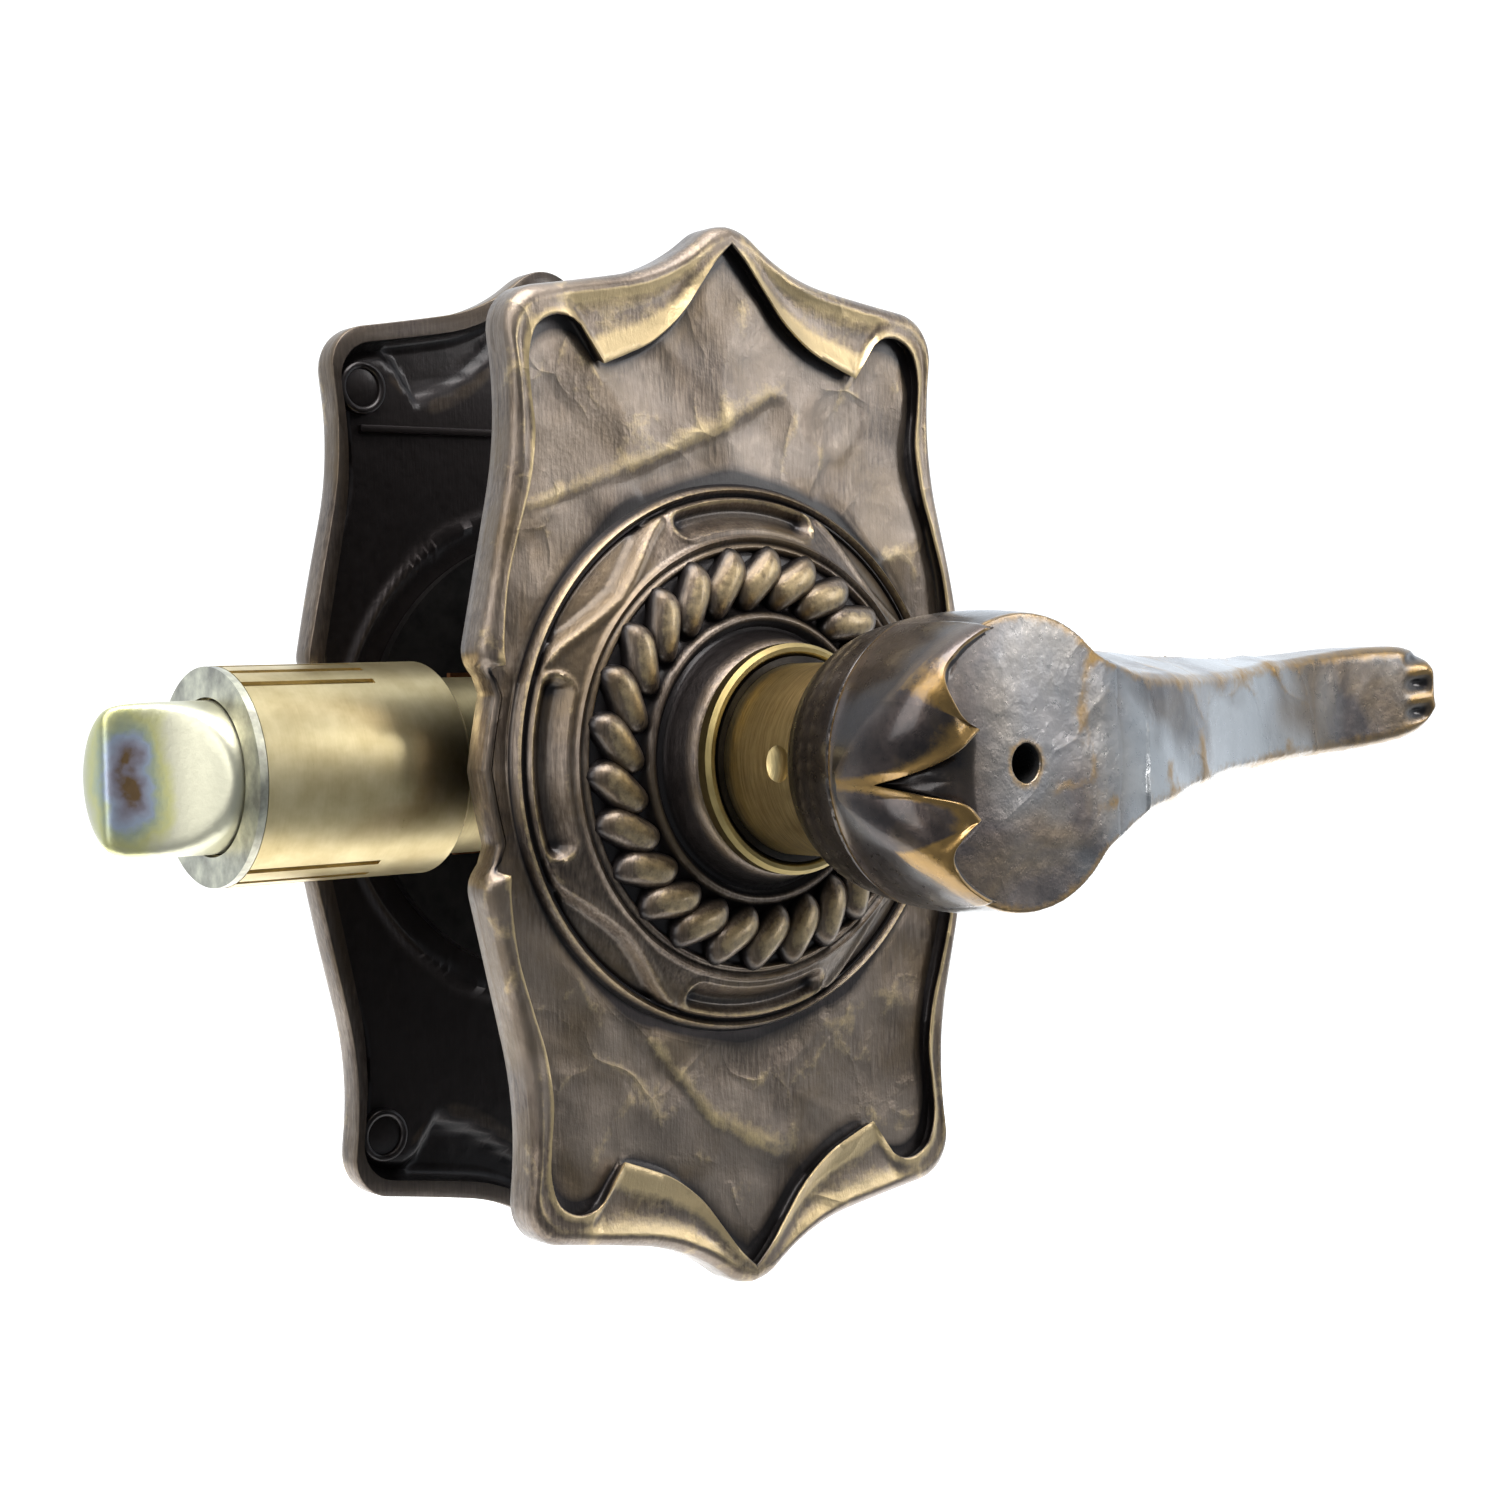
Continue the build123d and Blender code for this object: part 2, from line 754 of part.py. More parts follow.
# Lock rod: it joins the button to the emergency hole and carries the cross pin
stem_end = shank_end + button_travel + free
with BuildPart() as lock_rod:
    with BuildSketch(Plane.XZ.offset(face + rod_end)):
        Circle(rod_radius)
    extrude(amount=-(2 * face + rod_end + stem_end + stem_grip))
    with BuildSketch(Plane.XY.offset(-pin_half_length)):
        with Locations((0, pin_rest)):
            Circle(pin_radius)
    extrude(amount=2 * pin_half_length)
save(lock_rod.part, "lock_rod")

# Privacy button: a domed push button held in the inside lever by its flange
button_top = head_front - field_drop + button_proud
button_back = button_shoulder - button_flange_height
with BuildPart() as privacy_button:
    with BuildSketch(Plane.XY):
        with BuildLine():
            dome = ThreePointArc(
                (0, face + button_top),
                (0.6 * button_radius, face + button_top - 0.2 * button_crown),
                (button_radius, face + button_top - button_crown),
            )
            Polyline(
                dome @ 1,
                (button_radius, face + button_shoulder - seat),
                (button_radius + button_flange, face + button_shoulder - seat),
                (button_radius + button_flange, face + button_back),
                (button_stem, face + button_back),
                (button_stem, face + stem_end),
                (rod_radius + seat, face + stem_end),
                (rod_radius + seat, face + stem_end + stem_grip + seat),
                (0, face + stem_end + stem_grip + seat),
                (0, face + button_top),
            )
        make_face()
    revolve(axis=Axis.Y)
save(privacy_button.part, "privacy_button")

# Button spring: it lies between the shank's end and the button's flange
button_spring_length = button_back - shank_end - 2 * seat - button_wire
button_spring_turns = 4
button_spring_seat = Plane(
    origin=(0, face + shank_end + seat + button_wire / 2, 0), z_dir=(0, 1, 0)
)
with BuildPart() as button_spring:
    add(
        button_spring_seat
        * coil(
            button_radius - button_wire / 2,
            button_spring_length / button_spring_turns,
            button_spring_turns,
            button_wire,
        )
    )
save(button_spring.part, "button_spring")

# Lock bracket: a strap on the inside chassis whose notch the cross pin drops towards
with BuildPart() as lock_bracket:
    with BuildSketch(Plane.XZ.offset(-lock_face)):
        Rectangle(lock_leg_span, lock_plate_height)
        Circle(spindle_half * sqrt(2) + free, mode=Mode.SUBTRACT)
        Rectangle(2 * (pin_radius + free), 2 * (pin_half_length + free), mode=Mode.SUBTRACT)
    extrude(amount=lock_plate_thickness)
    with BuildSketch(Plane.XZ.offset(-lock_face)):
        with GridLocations(lock_leg_span - lock_plate_thickness, 0, 2, 1):
            Rectangle(lock_plate_thickness, lock_plate_height / 2)
    extrude(amount=-(face - lock_face - seat))
save(lock_bracket.part, "lock_bracket")

# Latch collar: a drawn brass tube that drives into the edge bore, with pressed grooves
collar_front = -backset + face_ring_thickness + seat
collar_back = -backset + collar_length
with BuildPart() as latch_collar:
    with BuildSketch(Plane.YZ.offset(collar_front)):
        Circle(collar_radius)
        Circle(collar_radius - collar_wall, mode=Mode.SUBTRACT)
    extrude(amount=collar_back - collar_front)
    with BuildSketch(Plane.YZ.offset(collar_back - collar_wall)):
        Circle(collar_radius - collar_wall / 2)
        Circle(barrel_radius + seat, mode=Mode.SUBTRACT)
    extrude(amount=collar_wall)
    rounds = edges().filter_by(GeomType.CIRCLE).group_by(SortBy.RADIUS)[-1]
    chamfer(rounds.sort_by(Axis.X)[-1], length=collar_wall / 2)
    with BuildSketch(Plane.YZ.offset(collar_front)):
        for middle in (90, 270):
            for place in (-34, -20, -7, 7, 20, 34):
                angle = radians(middle + place)
                with Locations((collar_radius * cos(angle), collar_radius * sin(angle))):
                    Rectangle(2 * groove_depth, groove_width, rotation=middle + place)
    extrude(amount=groove_length, mode=Mode.SUBTRACT)
save(latch_collar.part, "latch_collar")

# Face ring: the steel washer at the door's edge
with BuildPart() as latch_face_ring:
    with BuildSketch(Plane.YZ.offset(-backset)):
        Circle(collar_radius - seat)
        Circle(barrel_inner + free / 2, mode=Mode.SUBTRACT)
    extrude(amount=face_ring_thickness)
save(latch_face_ring.part, "latch_face_ring")

# Barrel: the tube that the bolt slides in, with a flange behind the face ring
with BuildPart() as latch_barrel:
    with BuildSketch(Plane.YZ.offset(collar_front)):
        Circle(barrel_radius)
        Circle(barrel_inner, mode=Mode.SUBTRACT)
    extrude(amount=-barrel_end - collar_front)
    with BuildSketch(Plane.YZ.offset(collar_front)):
        Circle(collar_radius - collar_wall - seat)
        Circle(barrel_inner, mode=Mode.SUBTRACT)
    extrude(amount=barrel_shoulder)
save(latch_barrel.part, "latch_barrel")

# Bolt: a round bolt with its ramp to the outside, and a slotted tail
bolt_tip = -backset - bolt_reach
bolt_heel = bolt_tip + bolt_length
draw_pin_x = bolt_heel + bolt_tail * 0.62
with BuildPart() as latch_bolt:
    with BuildSketch(Plane.YZ.offset(bolt_tip)):
        Circle(bolt_radius)
    extrude(amount=bolt_length)
    fillet(faces().sort_by(Axis.X)[0].edges(), radius=1.4)
    with BuildSketch(Plane.XY):
        with BuildLine():
            ramp = Spline(
                (bolt_tip - 1, bolt_radius - bolt_tip_thickness),
                (bolt_tip + 0.3 * bolt_reach, 0.35 * bolt_radius - bolt_tip_thickness / 2),
                (bolt_tip + 0.93 * bolt_reach, -bolt_radius - 0.2),
            )
            Polyline(
                ramp @ 1,
                (bolt_tip - 1, -bolt_radius - 0.2),
                ramp @ 0,
            )
        make_face()
    extrude(amount=2 * bolt_radius, both=True, mode=Mode.SUBTRACT)
    with BuildSketch(Plane.YZ.offset(bolt_heel)):
        Circle(bolt_tail_radius)
    extrude(amount=bolt_tail)
    with BuildSketch(Plane.XZ.offset(-draw_bar_thickness / 2 - seat)):
        with Locations((bolt_heel + 0.35 * bolt_tail, 0)):
            Rectangle(2 * bolt_tail, 4 * bolt_tail_radius, align=(Align.MIN, Align.CENTER))
    extrude(amount=draw_bar_thickness + 2 * seat, mode=Mode.SUBTRACT)
    with BuildSketch(Plane.XZ.offset(-bolt_tail_radius)):
        with Locations((draw_pin_x, 0)):
            Circle(drive_pin_radius + seat)
    extrude(amount=2 * bolt_tail_radius, mode=Mode.SUBTRACT)
save(latch_bolt.part, "latch_bolt")

# Bolt spring: it presses the bolt out against the web of the latch case
web_front = -barrel_end - case_web
bolt_spring_seat = Plane(
    origin=(bolt_heel + seat + bolt_wire / 2, 0, 0), x_dir=(0, 1, 0), z_dir=(1, 0, 0)
)
bolt_spring_length = web_front - bolt_heel - 2 * seat - bolt_wire
with BuildPart() as bolt_spring:
    add(
        bolt_spring_seat
        * coil(
            barrel_inner - 2.5 * bolt_wire,
            bolt_spring_length / bolt_turns,
            bolt_turns,
            bolt_wire,
        )
    )
save(bolt_spring.part, "bolt_spring")

# Latch case: two cheeks that carry the cam, behind a web pressed into the barrel
spacer_x = case_reach - spacer_radius
with BuildPart() as latch_case:
    with BuildSketch(Plane.XZ.offset(case_inner / 2)):
        with Locations((-barrel_end, 0)):
            Rectangle(barrel_end + case_reach, case_height, align=(Align.MIN, Align.CENTER))
        Circle(cam_hub_radius + running, mode=Mode.SUBTRACT)
        with Locations((spacer_x, 0)):
            Circle(rivet_radius + seat, mode=Mode.SUBTRACT)
    extrude(amount=case_thickness)
    mirror(about=Plane.XZ)
    with BuildSketch(Plane.YZ.offset(web_front)):
        Circle(barrel_inner - seat)
        Circle(bolt_tail_radius + free, mode=Mode.SUBTRACT)
    extrude(amount=case_web)
save(latch_case.part, "latch_case")

# Case spacer: a riveted pin that holds the cheeks apart at their open end
with BuildPart() as case_spacer:
    with BuildSketch(Plane.XZ.offset(-case_inner / 2 + seat)):
        with Locations((spacer_x, 0)):
            Circle(spacer_radius)
    extrude(amount=case_inner - 2 * seat)
    with BuildSketch(Plane.XZ.offset(-case_inner / 2 - case_thickness - rivet_proud)):
        with Locations((spacer_x, 0)):
            Circle(rivet_radius)
    extrude(amount=case_inner + 2 * (case_thickness + rivet_proud))
save(case_spacer.part, "case_spacer")

# Draw bar: a fork round the cam's hub, with two drive pins that the fingers push
half_turn = radians(turn_limit / 2)
drive_pin_z = cam_finger_reach * cos(half_turn)
reach_gap = cam_finger_width / 2 + drive_pin_radius + drive_pin_gap
drive_pin_x = (reach_gap - drive_pin_z * sin(half_turn)) / cos(half_turn)
fork_root = -cam_hub_radius - free - bolt_stroke
fork_end = drive_pin_x + 3 * drive_pin_radius
bar_start = draw_pin_x - 2 * drive_pin_radius
from_left = (Align.MIN, Align.CENTER)
with BuildPart() as draw_bar:
    with BuildSketch(Plane.XZ.offset(-draw_bar_thickness / 2)):
        with Locations((bar_start, 0)):
            Rectangle(fork_root - bar_start, 2 * bolt_tail_radius, align=from_left)
        with Locations((fork_root - fork_bridge, 0)):
            Rectangle(fork_end - fork_root + fork_bridge, draw_bar_height, align=from_left)
        with Locations((fork_root, 0)):
            gap = 2 * (cam_hub_radius + free)
            Rectangle(barrel_end * 2, gap, align=from_left, mode=Mode.SUBTRACT)
        with Locations((draw_pin_x, 0)):
            Circle(drive_pin_radius + seat, mode=Mode.SUBTRACT)
    extrude(amount=draw_bar_thickness)
    with BuildSketch(Plane.XZ.offset(draw_bar_thickness / 2)):
        with Locations((drive_pin_x, drive_pin_z), (drive_pin_x, -drive_pin_z)):
            Circle(drive_pin_radius)
    extrude(amount=case_inner / 2 - draw_bar_thickness / 2 - free / 2)
save(draw_bar.part, "draw_bar")

# Draw pin: it joins the draw bar to the bolt's tail
with BuildPart() as draw_pin:
    with BuildSketch(Plane.XZ.offset(-bolt_tail_radius * 0.8)):
        with Locations((draw_pin_x, 0)):
            Circle(drive_pin_radius)
    extrude(amount=1.6 * bolt_tail_radius)
save(draw_pin.part, "draw_pin")

# Latch cam: a hub on the spindle with a finger above and a finger below
with BuildPart() as latch_cam:
    with BuildSketch(Plane.XZ.offset(-cam_hub_length / 2)):
        Circle(cam_hub_radius)
        Rectangle(spindle_across + 2 * running, spindle_across + 2 * running, mode=Mode.SUBTRACT)
    extrude(amount=cam_hub_length)
    with BuildSketch(Plane.XZ.offset(draw_bar_thickness / 2 + free)):
        for side in (1, -1):
            with Locations(Location((0, 0, 0), (0, 0, side * turn_limit / 2))):
                with Locations((0, side * (cam_hub_radius + cam_finger_reach) / 2 - side * 0.7)):
                    Rectangle(cam_finger_width, cam_finger_reach - cam_hub_radius + 1.4)
    extrude(amount=case_inner / 2 - draw_bar_thickness / 2 - 2 * free)
save(latch_cam.part, "latch_cam")
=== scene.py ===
import bpy
import json
import numpy as np
from math import cos, pi, radians, sin
from mathutils import Matrix, Vector, noise


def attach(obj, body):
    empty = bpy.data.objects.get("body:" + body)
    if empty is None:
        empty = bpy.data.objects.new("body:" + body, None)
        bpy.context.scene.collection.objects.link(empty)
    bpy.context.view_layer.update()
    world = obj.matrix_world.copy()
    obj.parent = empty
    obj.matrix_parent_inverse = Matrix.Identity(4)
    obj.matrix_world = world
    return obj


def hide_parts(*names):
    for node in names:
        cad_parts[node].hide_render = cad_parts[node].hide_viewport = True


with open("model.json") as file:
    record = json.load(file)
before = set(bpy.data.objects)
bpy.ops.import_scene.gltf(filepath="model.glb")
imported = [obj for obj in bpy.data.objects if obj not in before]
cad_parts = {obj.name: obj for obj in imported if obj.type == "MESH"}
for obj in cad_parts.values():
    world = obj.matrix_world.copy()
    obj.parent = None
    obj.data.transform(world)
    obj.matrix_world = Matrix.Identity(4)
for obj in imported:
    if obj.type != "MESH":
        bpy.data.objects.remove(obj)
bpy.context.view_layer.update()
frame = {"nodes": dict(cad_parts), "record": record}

MM = 0.001
DOOR_FACE = 17.5

# Camera: left of the outside trim and a little above it, as in the photograph
azimuth, elevation, roll = radians(-36.19), radians(1.87), radians(-1.52)
back = Vector((sin(azimuth) * cos(elevation), -cos(azimuth) * cos(elevation), sin(elevation)))
level = Vector((cos(azimuth), sin(azimuth), 0))
upright = back.cross(level)
right = cos(roll) * level + sin(roll) * upright
above = cos(roll) * upright - sin(roll) * level
camera_data = bpy.data.cameras.new("camera")
camera_data.lens = 61.29
camera_data.sensor_width = 36
camera_data.shift_x = 0.0802
camera_data.clip_start = 0.01
camera = bpy.data.objects.new("camera", camera_data)
camera.matrix_world = Matrix(
    (
        (right.x, above.x, back.x, 0.32876 * back.x),
        (right.y, above.y, back.y, 0.32876 * back.y),
        (right.z, above.z, back.z, 0.32876 * back.z),
        (0, 0, 0, 1),
    )
)
bpy.context.scene.collection.objects.link(camera)
bpy.context.scene.camera = camera


# Materials
PER_MM = (1000, 1000, 1000)
FLOAT_MIX = {"data_type": "FLOAT"}
COLOUR_MIX = {"data_type": "RGBA"}
SUBTRACT = {"operation": "SUBTRACT"}
MULTIPLY = {"operation": "MULTIPLY"}
MULTIPLY_ADD = {"operation": "MULTIPLY_ADD"}
WHITE = (1, 1, 1, 1)


def linear(hex_colour):
    """sRGB hex to the linear values that a shader takes."""
    out = []
    for i in (1, 3, 5):
        c = int(hex_colour[i : i + 2], 16) / 255
        out.append(c / 12.92 if c <= 0.04045 else ((c + 0.055) / 1.055) ** 2.4)
    return (*out, 1)


def add_node(owner, kind, settings=None, stops=(), out=0, **inputs):
    """Adds a node with its settings and the stops of its colour ramp, each a position and a hex
    colour or a grey. Inputs are linked or given a value, i0 by its place and others by name.
    Returns the output that is asked for."""
    tree = owner.node_tree
    node = tree.nodes.new(kind)
    for key, value in (settings or {}).items():
        setattr(node, key, value)
    if stops:
        elements = node.color_ramp.elements
        while len(elements) < len(stops):
            elements.new(0.5)
        for element, (position, colour) in zip(elements, stops):
            element.position = position
            element.color = linear(colour) if isinstance(colour, str) else (colour, colour, colour, 1)
    for name, value in inputs.items():
        key = int(name[1:]) if name[0] == "i" and name[1:].isdigit() else name.replace("_", " ")
        socket = node.inputs[key]
        if isinstance(value, bpy.types.NodeSocket):
            tree.links.new(value, socket)
        else:
            socket.default_value = linear(value) if isinstance(value, str) else value
    return node.outputs[out] if node.outputs else None


def new_material(name):
    material = bpy.data.materials.new(name)
    material.use_nodes = True
    material.node_tree.nodes.clear()
    return material


def antique_bronze(name, tones, painted_sheen, gold, rough, lacquer, brushed):
    """Die-cast zinc plated in antique bronze: brown-black patina in the hollows, a satin brown on the
    open faces and relieved to gold on the crests, under a thin lacquer, with pale blotches of painted
    sheen. The faces are creased like parchment, crumpled millimetres deep. The piece's own attribute
    of worn crests and painted shade is over 0.5 on crests and under it in hollows and where shade is
    painted, and another attribute of its own says where the creases and the painted sheen show."""
    material = new_material(name)
    place = add_node(material, "ShaderNodeTexCoord", out="Object")
    point = add_node(material, "ShaderNodeMapping", Vector=place, Scale=PER_MM)
    wear_and_shade = add_node(material, "ShaderNodeAttribute", {"attribute_name": "wear_and_shade"}, out="Fac")
    crease_and_sheen_mask = add_node(material, "ShaderNodeAttribute", {"attribute_name": "crease_and_sheen"}, out="Fac")
    # Blotches of the plating 9 mm across, pits of 1 mm, and brush lines 0.35 mm apart that run up
    blotch = add_node(material, "ShaderNodeTexNoise", Vector=point, Scale=1 / 9, Detail=5, Roughness=0.6)
    fine = add_node(material, "ShaderNodeTexNoise", Vector=point, Scale=1 / 1.1, Detail=6, Roughness=0.7)
    upright = add_node(material, "ShaderNodeMapping", Vector=place, Scale=(1000, 1000, 120))
    fibres = add_node(
        material, "ShaderNodeTexNoise", Vector=upright, Scale=1 / 0.35, Detail=3, Roughness=0.6
    )
    # The sheet's creases: cells 11 to 15 mm across, bent out of line
    drift = add_node(
        material, "ShaderNodeTexNoise", out="Color", Vector=point, Scale=1 / 13, Detail=1
    )
    bent = add_node(
        material, "ShaderNodeVectorMath", MULTIPLY_ADD, i0=drift, i1=(16, 16, 16), i2=point
    )
    edges = {"feature": "DISTANCE_TO_EDGE"}
    veins = add_node(material, "ShaderNodeTexVoronoi", edges, Vector=bent, Scale=1 / 15)
    rounds = {"feature": "SMOOTH_F1"}
    folds = add_node(
        material, "ShaderNodeTexVoronoi", rounds, Vector=bent, Scale=1 / 11, Smoothness=0.25
    )
    here = add_node(material, "ShaderNodeValToRGB", stops=((0.4, 0.0), (0.56, 1.0)), Fac=blotch)
    here = add_node(material, "ShaderNodeMath", MULTIPLY, i0=here, i1=crease_and_sheen_mask)
    vein = add_node(
        material, "ShaderNodeValToRGB", stops=((0.0, 1.0), (0.04, 0.5), (0.12, 0.0)), Fac=veins
    )
    vein = add_node(material, "ShaderNodeMath", MULTIPLY, i0=vein, i1=here)
    # Browns, an olive film in blotches of 15 mm, and pale blotches of 22 mm of painted sheen
    tone = add_node(material, "ShaderNodeMix", FLOAT_MIX, i0=0.5 * brushed, i2=blotch, i3=fibres)
    stops = tuple(zip((0.36, 0.5, 0.64), tones))
    base = add_node(material, "ShaderNodeValToRGB", stops=stops, Fac=tone)
    film = add_node(
        material, "ShaderNodeTexNoise", Vector=point, Scale=1 / 15, Detail=4, Roughness=0.6, Distortion=0.6
    )
    film = add_node(material, "ShaderNodeValToRGB", stops=((0.45, 0.0), (0.6, 0.8)), Fac=film)
    base = add_node(material, "ShaderNodeMix", COLOUR_MIX, out=2, i0=film, i6=base, i7="#5f4f3a")
    # Painted sheen: pale patches of colour over the creased faces, standing in for the lacquer's
    # reflection
    sheen_patches = add_node(material, "ShaderNodeTexNoise", Vector=bent, Scale=1 / 22, Detail=2, Roughness=0.6)
    sheen_patches = add_node(material, "ShaderNodeValToRGB", stops=((0.42, 0.12), (0.58, 0.85)), Fac=sheen_patches)
    sheen_patches = add_node(material, "ShaderNodeMath", MULTIPLY, i0=sheen_patches, i1=crease_and_sheen_mask)
    base = add_node(material, "ShaderNodeMix", COLOUR_MIX, out=2, i0=sheen_patches, i6=base, i7=painted_sheen)
    # Brown-black where the attribute is low: patina in the hollows, and painted shade where the attribute
    # is lowered for it
    patina_and_shade = add_node(material, "ShaderNodeValToRGB", stops=((0.37, 1.0), (0.485, 0.0)), Fac=wear_and_shade)
    base = add_node(material, "ShaderNodeMix", COLOUR_MIX, out=2, i0=patina_and_shade, i6=base, i7="#221d1c")
    # Gold where the piece is rubbed: its crests, and a little along the veins
    speck = add_node(material, "ShaderNodeMath", SUBTRACT, i0=fine, i1=0.5)
    rubbed = add_node(material, "ShaderNodeMath", MULTIPLY_ADD, i0=speck, i1=0.14, i2=wear_and_shade)
    rubbed = add_node(material, "ShaderNodeMath", MULTIPLY_ADD, i0=vein, i1=0.06, i2=rubbed)
    crest = add_node(material, "ShaderNodeValToRGB", stops=((0.53, 0.0), (0.61, 1.0)), Fac=rubbed)
    base = add_node(material, "ShaderNodeMix", COLOUR_MIX, out=2, i0=crest, i6=base, i7=gold)
    gloss = add_node(
        material,
        "ShaderNodeMapRange",
        Value=fine,
        From_Min=0.3,
        From_Max=0.7,
        To_Min=rough - 0.07,
        To_Max=rough + 0.08,
    )
    # Relief in millimetres: veins, folds, a 3 mm orange peel and the brush lines
    peel = add_node(material, "ShaderNodeTexNoise", Vector=point, Scale=1 / 3, Detail=4, Roughness=0.6)
    height = add_node(material, "ShaderNodeMath", MULTIPLY, i0=fibres, i1=0.04 * brushed)
    height = add_node(material, "ShaderNodeMath", MULTIPLY_ADD, i0=peel, i1=0.12, i2=height)
    height = add_node(material, "ShaderNodeMath", MULTIPLY_ADD, i0=vein, i1=0.12, i2=height)
    folds = add_node(material, "ShaderNodeMath", MULTIPLY, i0=folds, i1=crease_and_sheen_mask)
    height = add_node(material, "ShaderNodeMath", MULTIPLY_ADD, i0=folds, i1=0.6, i2=height)
    shader = add_node(
        material,
        "ShaderNodeBsdfPrincipled",
        Base_Color=base,
        Metallic=0.85,
        Roughness=gloss,
        Normal=add_node(material, "ShaderNodeBump", Height=height, Strength=1, Distance=MM),
        Coat_Weight=lacquer,
        Coat_Roughness=0.5 * rough,
    )
    add_node(material, "ShaderNodeOutputMaterial", Surface=shader)
    return material


def turned_brass(name, dark, light, rough, axis, brushed):
    """Brass or yellow zinc on a tube, brushed round its axis: fine lines that run round it, and
    highlights drawn out across them."""
    material = new_material(name)
    place = add_node(material, "ShaderNodeTexCoord", out="Object")
    point = add_node(material, "ShaderNodeMapping", Vector=place, Scale=PER_MM)
    round_it = {"Y": (60, 1000, 60), "X": (1000, 60, 60)}[axis]
    turned = add_node(material, "ShaderNodeMapping", Vector=place, Scale=round_it)
    lines = add_node(
        material, "ShaderNodeTexNoise", Vector=turned, Scale=1 / 0.25, Detail=4, Roughness=0.7
    )
    blotch = add_node(material, "ShaderNodeTexNoise", Vector=point, Scale=1 / 6, Detail=4, Roughness=0.6)
    tone = add_node(material, "ShaderNodeMix", FLOAT_MIX, i0=brushed, i2=blotch, i3=lines)
    height = 0.03 * brushed * MM
    radial = {"direction_type": "RADIAL", "axis": axis}
    shader = add_node(
        material,
        "ShaderNodeBsdfPrincipled",
        Base_Color=add_node(material, "ShaderNodeValToRGB", stops=((0.35, dark), (0.65, light)), Fac=tone),
        Metallic=1,
        Roughness=add_node(
            material, "ShaderNodeMapRange", Value=lines, To_Min=rough - 0.07, To_Max=rough + 0.1
        ),
        Normal=add_node(material, "ShaderNodeBump", Height=lines, Strength=1, Distance=height),
        Anisotropic=0.7,
        Tangent=add_node(material, "ShaderNodeTangent", radial),
    )
    add_node(material, "ShaderNodeOutputMaterial", Surface=shader)
    return material


def plated_steel(name, colours, rough, grit=0.8):
    """Plated or phosphated steel: a satin metal with a faint cloudy spangle 4 mm across."""
    material = new_material(name)
    place = add_node(material, "ShaderNodeTexCoord", out="Object")
    point = add_node(material, "ShaderNodeMapping", Vector=place, Scale=PER_MM)
    cloud = add_node(material, "ShaderNodeTexNoise", Vector=point, Scale=1 / 4, Detail=5, Roughness=0.6)
    fine = add_node(material, "ShaderNodeTexNoise", Vector=point, Scale=1 / grit, Detail=3, Roughness=0.6)
    stops = tuple(zip(np.linspace(0.35, 0.65, len(colours)), colours))
    shader = add_node(
        material,
        "ShaderNodeBsdfPrincipled",
        Base_Color=add_node(material, "ShaderNodeValToRGB", stops=stops, Fac=cloud),
        Metallic=1,
        Roughness=add_node(
            material, "ShaderNodeMapRange", Value=fine, To_Min=rough - 0.06, To_Max=rough + 0.08
        ),
        Normal=add_node(material, "ShaderNodeBump", Height=fine, Strength=1, Distance=0.02 * MM),
    )
    add_node(material, "ShaderNodeOutputMaterial", Surface=shader)
    return material


def chromated_bolt(name, worn_at):
    """Bolt cast in zinc and yellow chromated: a film whose colour drifts from cream over yellow
    and green to a bluish grey, rubbed through to a brown oval on the ramp where the strike
    runs. worn_at is the oval's middle, in millimetres."""
    material = new_material(name)
    place = add_node(material, "ShaderNodeTexCoord", out="Object")
    point = add_node(material, "ShaderNodeMapping", Vector=place, Scale=PER_MM)
    drift = add_node(
        material, "ShaderNodeTexNoise", out="Color", Vector=point, Scale=1 / 5, Detail=3
    )
    bent = add_node(material, "ShaderNodeVectorMath", MULTIPLY_ADD, i0=drift, i1=(5, 5, 5), i2=point)
    middle = tuple(c + 2.5 for c in worn_at)
    away = add_node(material, "ShaderNodeVectorMath", SUBTRACT, i0=bent, i1=middle)
    away = add_node(material, "ShaderNodeVectorMath", MULTIPLY, i0=away, i1=(0.2, 0.1, 0.088))
    away = add_node(material, "ShaderNodeVectorMath", {"operation": "LENGTH"}, out="Value", i0=away)
    fine = add_node(material, "ShaderNodeTexNoise", Vector=point, Scale=1 / 0.7, Detail=4, Roughness=0.6)
    speck = add_node(material, "ShaderNodeMath", SUBTRACT, i0=fine, i1=0.5)
    away = add_node(material, "ShaderNodeMath", MULTIPLY_ADD, i0=speck, i1=0.07, i2=away)
    film = (
        (0.33, "#7a6246"),
        (0.38, "#8b8288"),
        (0.45, "#9b9aa6"),
        (0.55, "#a3adbd"),
        (0.63, "#a6ae98"),
        (0.78, "#bdbb86"),
        (1.0, "#bfbca6"),
    )
    shader = add_node(
        material,
        "ShaderNodeBsdfPrincipled",
        Base_Color=add_node(material, "ShaderNodeValToRGB", stops=film, Fac=away),
        Metallic=1,
        Roughness=add_node(material, "ShaderNodeMapRange", Value=fine, To_Min=0.34, To_Max=0.48),
        Normal=add_node(material, "ShaderNodeBump", Height=fine, Strength=1, Distance=0.02 * MM),
    )
    add_node(material, "ShaderNodeOutputMaterial", Surface=shader)
    return material


